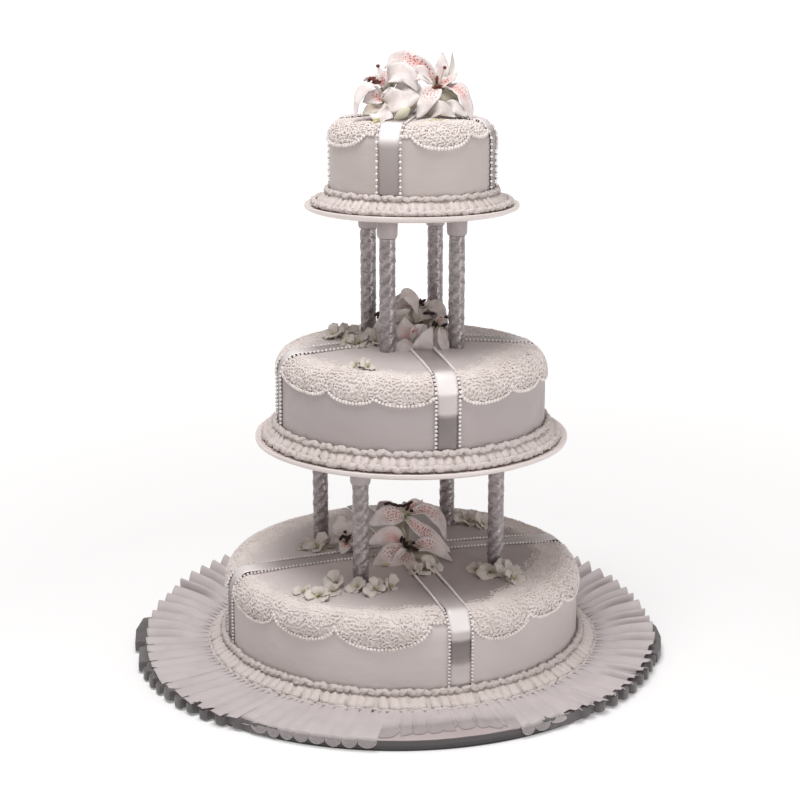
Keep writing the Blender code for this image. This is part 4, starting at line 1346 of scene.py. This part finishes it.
# Shares of the way across a pleat, and of the way out where the frill lies open. Where it hangs, 1 is the
# board's lip and 2 is the hem.
PLEAT_STEPS = (0.0, 0.035, 0.07, 0.11, 0.2, 0.28, 0.34, 0.42, 0.46, 0.5, 0.54, 0.64, 0.78, 0.89, 0.93, 0.965)
OPEN_STEPS = (0.0, 0.04, 0.08, 0.14, 0.22, 0.34, 0.48, 0.62, 0.74, 0.84, 0.92, 0.97, 1.0)
HUNG_STEPS = (0.0, 0.04, 0.08, 0.14, 0.22, 0.36, 0.52, 0.70, 0.86, 0.95, 1.25, 1.93, 2.0)
FRILL_INNER = 0.2085  # radius of its inner edge
FRILL_RADIUS = 0.268  # where a pleat's width is measured
FRILL_FOOT = 0.0042  # height of the inner edge over the board
FRILL_SHIFT = Vector((0.003, 0, 0))  # its outer edge isn't quite centred on the board
WIDE_PLEAT = 3.8  # degrees from which a pleat has a second crease down its middle
SLIT_DEPTH = 0.0036  # of the slits where pleats meet at the inner edge, which also get a dark painted shadow
DARK_DEPTH = 0.0036  # depth from which the painted shade inside a pleat is full


def pleat_turns(rng):
    """Turns where the pleats of the white frill meet, from the back round to the back again."""
    turns = [-180.0]
    while turns[-1] < 180:
        width = read_off(PLEAT_WIDTH, turns[-1]) * rng.uniform(0.82, 1.18)
        turns.append(turns[-1] + math.degrees(width / FRILL_RADIUS))
    scale = 360 / (turns[-1] + 180)
    return [-180 + (turn + 180) * scale for turn in turns]


def add_frill(look):
    """The white frill: pleats that open outwards, tall at the back, and in front lobes over the board."""
    rng = random.Random("frill")
    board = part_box("board")[1]
    turns = pleat_turns(rng)
    points, sheer, valley = [], [], []
    for first, second in zip(turns, turns[1:]):
        tall = rng.uniform(0.75, 1.2)
        lean = rng.uniform(-0.8, 0.8)
        longer = rng.uniform(-0.5, 0.5)
        tables = (GAP, FRILL_HANG, LOBE_NOTCH, TEETH)
        gap, hang, notch, teeth = (read_off(table, (first + second) / 2) for table in tables)
        for phase in PLEAT_STEPS:
            turn = mix(first, second, phase)
            lobe = math.sqrt(1 - (2 * phase - 1) ** 2)
            wave = mix(2 * math.sin(math.pi * phase) ** 1.2 - 1, -math.cos(2 * math.pi * phase), 0.8)
            fold = abs(2 * phase - 1)
            second_crease = 0.9 * smooth(1 - fold / 0.3) if second - first > WIDE_PLEAT else 0
            crease = max(smooth(1 - (1 - fold) / 0.34), second_crease)
            depth = read_off(PLEAT_DEPTH, turn) * tall
            tooth = smooth((phase - 0.26) / 0.09) * smooth((1.0 - phase) / 0.04)
            full = mix(lobe**0.7, tooth, teeth)
            reach = read_off(FRILL_REACH, turn) + notch * (0.4 * longer + full - 1)
            lift = read_off(FRILL_LIFT, turn)
            start = around(turn, FRILL_INNER) + BOTTOM.centre
            end = around(turn + lean * wave * (1 - hang), reach) + FRILL_SHIFT
            lip = around(turn, board.x + 0.0012)
            for out, far in zip(OPEN_STEPS, HUNG_STEPS):
                flat = start.lerp(end, out)
                slit = SLIT_DEPTH * crease * (1 - smooth(out / 0.15))
                fan = smooth(out * 1.6) * depth * wave
                curl = gap * smooth((out - 0.5) / 0.5)
                height = board.z + mix(FRILL_FOOT + lift * out**0.8 + fan - slit, 0.0008, curl)
                lying = Vector((flat.x, flat.y, max(height, board.z + 0.0004)))
                over = max(far - 1, 0)
                flat = start.lerp(lip, min(far, 1)) + around(turn, 0.0022 * over)
                swell = 0.0008 * noise.noise(flat * 70) + fan
                height = board.z + mix(FRILL_FOOT, 0.0010, min(far, 1) ** 2) + swell * (1 - over) - slit
                drop = (0.0015 + (0.0075 + 0.001 * longer) * lobe) * over
                hanging = Vector((flat.x, flat.y, height - drop))
                points.append(lying.lerp(hanging, hang))
                sheer.append(max(hang if 1 < far < 1.95 else 0.0, 0.8 * gap * smooth((out - 0.55) / 0.2)))
                # painted shade in the hollow of the pleat, and painted shadow in the slits
                dark = 0.5 * (1 - wave) * smooth(out * 1.5 - 0.1) * min(depth / DARK_DEPTH, 1) ** 1.3
                valley.append(dark * (1 - hang) + 2.2 * crease * (1 - smooth((out - 0.04) / 0.2)))
    faces = grid_faces(len(PLEAT_STEPS) * (len(turns) - 1), len(OPEN_STEPS), closed=True)
    obj = make_piece("frill_white", points, faces, look, "frill", ["frill_upper"])
    mark(obj, "sheer", sheer)
    mark(obj, "valley", valley)
    solidify(obj, 0.00025)


# The dark strip by turn: its reach at the whole tabs at the two sides, and at the teeth between them
RIGHT_TAB = ((77.5, 0.2700), (78.0, 0.2845), (82, 0.2875), (88, 0.2892), (94, 0.2888), (97, 0.2865),
             (98.5, 0.2800), (99, 0.262))
LEFT_TABS = ((-99.5, 0.262), (-99, 0.2890), (-92, 0.2885), (-84.5, 0.2850), (-84, 0.2740), (-82, 0.2745),
             (-81.5, 0.2800), (-73, 0.2840), (-72.5, 0.2750))
TOOTH_REACH = ((-72, 0.2820), (-52, 0.2790), (-25, 0.2660), (32, 0.2670), (50, 0.2770), (77, 0.2830))
TOOTH_DEPTH = 0.0060
TOOTH_TURN = 4.12  # degrees from one tooth to the next
# One tooth: share of its turn, how far short of its full reach, and how much the cloth dips there
TOOTH = ((0, TOOTH_DEPTH, 0), (0.3, TOOTH_DEPTH, 0), (0.38, 0.001, 0), (0.5, 0, 0.0006), (0.8, 0, 0.0006),
         (0.93, 0.001, 0))
HIDDEN_REACH = 0.262  # under the white frill at the back
SKIRT_ROWS = ((0.0, 0.0125), (0.7, 0.0135), (1.0, 0.0122), (1.0, 0.0075), (0.99, 0.0025))  # share out, height


def teeth_between(rng, first, last):
    """(turn, reach, drop) along a row of teeth."""
    teeth = []
    while first < last:
        width = TOOTH_TURN * rng.uniform(0.88, 1.12)
        drop = rng.uniform(-0.001, 0.001)
        far = read_off(TOOTH_REACH, first)
        teeth += [(first + share * width, far - short, drop - dip) for share, short, dip in TOOTH]
        first += width
    return teeth


def skirt_outline(rng):
    """(turn, reach, drop) round the dark strip, from the front right over the back to the front left."""
    right = teeth_between(rng, 32, 77)
    left = teeth_between(rng, -72, -26)
    back = [(turn, HIDDEN_REACH, 0.0) for turn in range(102, 258, 6)]
    tabs = [[(turn, reach, 0.0) for turn, reach in rows] for rows in (RIGHT_TAB, LEFT_TABS)]
    return right + tabs[0] + back + tabs[1] + left


def add_skirt(look):
    """The darker strip, which comes from under the white frill and drops in rounded teeth round the board."""
    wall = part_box("board")[1].x
    points = []
    outline = skirt_outline(random.Random("skirt"))
    for turn, reach, drop in outline:
        points.append(around(turn, wall - 0.009, 0.0127))
        for share, height in SKIRT_ROWS:
            points.append(around(turn, mix(wall + 0.0006, max(reach, wall + 0.0014), share), height + drop))
    faces = grid_faces(len(outline), len(SKIRT_ROWS) + 1)
    obj = make_piece("frill_dark", points, faces, look, "skirt", ["frill_lower"])
    obj.data.set_sharp_from_angle(angle=math.radians(50))
    solidify(obj, 0.0003)


# ---------------------------------------------------------------- stage


FLOOR_SIZE = 400
STUDIO_LIGHT = 0.37
# Name, place, what it points at, size and power
LIGHTS = (("ceiling", (-0.22, -0.42, 2.3), (0, 0, 0.3), 1.1, 39),
          ("window", (1.5, -1.3, 0.4), (0, 0, 0.12), 0.8, 6))
CAMERA_PLACE = (0.00355, -1.7721, 0.7217)
CAMERA_PITCH = 12.45  # degrees below level


def add_stage():
    """A pale floor that brightens away from the cake, an even studio, two soft lights and the camera."""
    bpy.ops.mesh.primitive_plane_add(size=FLOOR_SIZE)
    floor = bpy.context.object
    floor.name = "floor"
    look = Look("floor", (222, 221, 221), 0.9, Specular_IOR_Level=0.0)
    look.shader.inputs["Emission Color"].default_value = (1, 0.995, 0.99, 1)
    away = look.node("ShaderNodeVectorMath", {0: look.place()}, operation="LENGTH").outputs["Value"]
    look.set("Emission Strength", look.spread(away, 0.5, 2.2, 0.26, 0.8))
    floor.data.materials.append(look.material)
    scene = bpy.context.scene
    scene.view_settings.view_transform = "Standard"
    scene.world = bpy.data.worlds.new("studio")
    scene.world.use_nodes = True
    background = scene.world.node_tree.nodes["Background"]
    background.inputs["Color"].default_value = (1, 0.985, 0.98, 1)
    background.inputs["Strength"].default_value = STUDIO_LIGHT
    for light in LIGHTS:
        add_light(*light)
    add_camera()


def add_light(name, place, target, size, power):
    data = bpy.data.lights.new(name, "AREA")
    data.size = size
    data.energy = power
    light = bpy.data.objects.new(name, data)
    light.location = place
    light.rotation_euler = (Vector(target) - Vector(place)).to_track_quat("-Z", "Y").to_euler()
    bpy.context.scene.collection.objects.link(light)


def add_camera():
    data = bpy.data.cameras.new("camera")
    data.lens = 77.0
    data.sensor_width = 36
    data.shift_y = -0.0614
    camera = bpy.data.objects.new("camera", data)
    camera.location = CAMERA_PLACE
    camera.rotation_euler = (math.radians(90 - CAMERA_PITCH), 0, 0)
    bpy.context.scene.collection.objects.link(camera)
    bpy.context.scene.camera = camera


def main():
    # The three icings are lit and shaded copies of one sugar paste: the middle darker and the bottom lighter
    # than the top, painted shade and painted light
    icings = {
        "top": icing_look("icing_top", (196, 185, 182), (189, 178, 174)),
        # The crown colours are painted: a lighter top on the middle tier for the light from above, a darker
        # crown on the bottom tier for the shadow of the middle plate
        "middle": icing_look("icing_middle", (180, 170, 169), (173, 162, 161), (206, 196, 194), MIDDLE.top),
        "bottom": icing_look("icing_bottom", (211, 201, 199), (204, 193, 191), (164, 153, 151), BOTTOM.top,
                             -0.08, 0.03),
    }
    looks = {name: plain_look(name) for name in PLAIN}
    satin = satin_look()
    add_board(board_look())
    add_plate(MIDDLE, 0.1055, 0.010, -26.4, looks["plate"], looks["socket"])
    add_plate(TOP, 0.0528, 0.016, -28.8, looks["plate"], looks["socket"])
    twist = pillar_look()
    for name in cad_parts:
        if name.startswith("pillar_"):
            add_pillar(name, twist)
    for tier in TIERS.values():
        add_icing(tier, icings[tier.name])
        add_border(tier, looks["piping"], looks["bed"])
        add_ribbons(tier, satin, looks["pearl"])
        add_lace(tier, looks["lace"], looks["scallop"])
    petal = petal_look("petal", (228, 219, 216))
    dark = looks["dark_anther"]
    add_lilies(petal, {"top": looks["anther"], "middle": dark, "bottom": dark}, looks["filament"])
    add_blossoms(petal_look("small_petal", (222, 213, 205)), looks["heart"])
    add_bud(petal, looks["heart"])
    add_frill(organza_look("organza", (198, 188, 188), (188, 178, 178), 0.96, sheer=0.35))
    add_skirt(organza_look("dark_organza", (108, 101, 102), (88, 82, 83), 0.94))
    add_stage()


main()
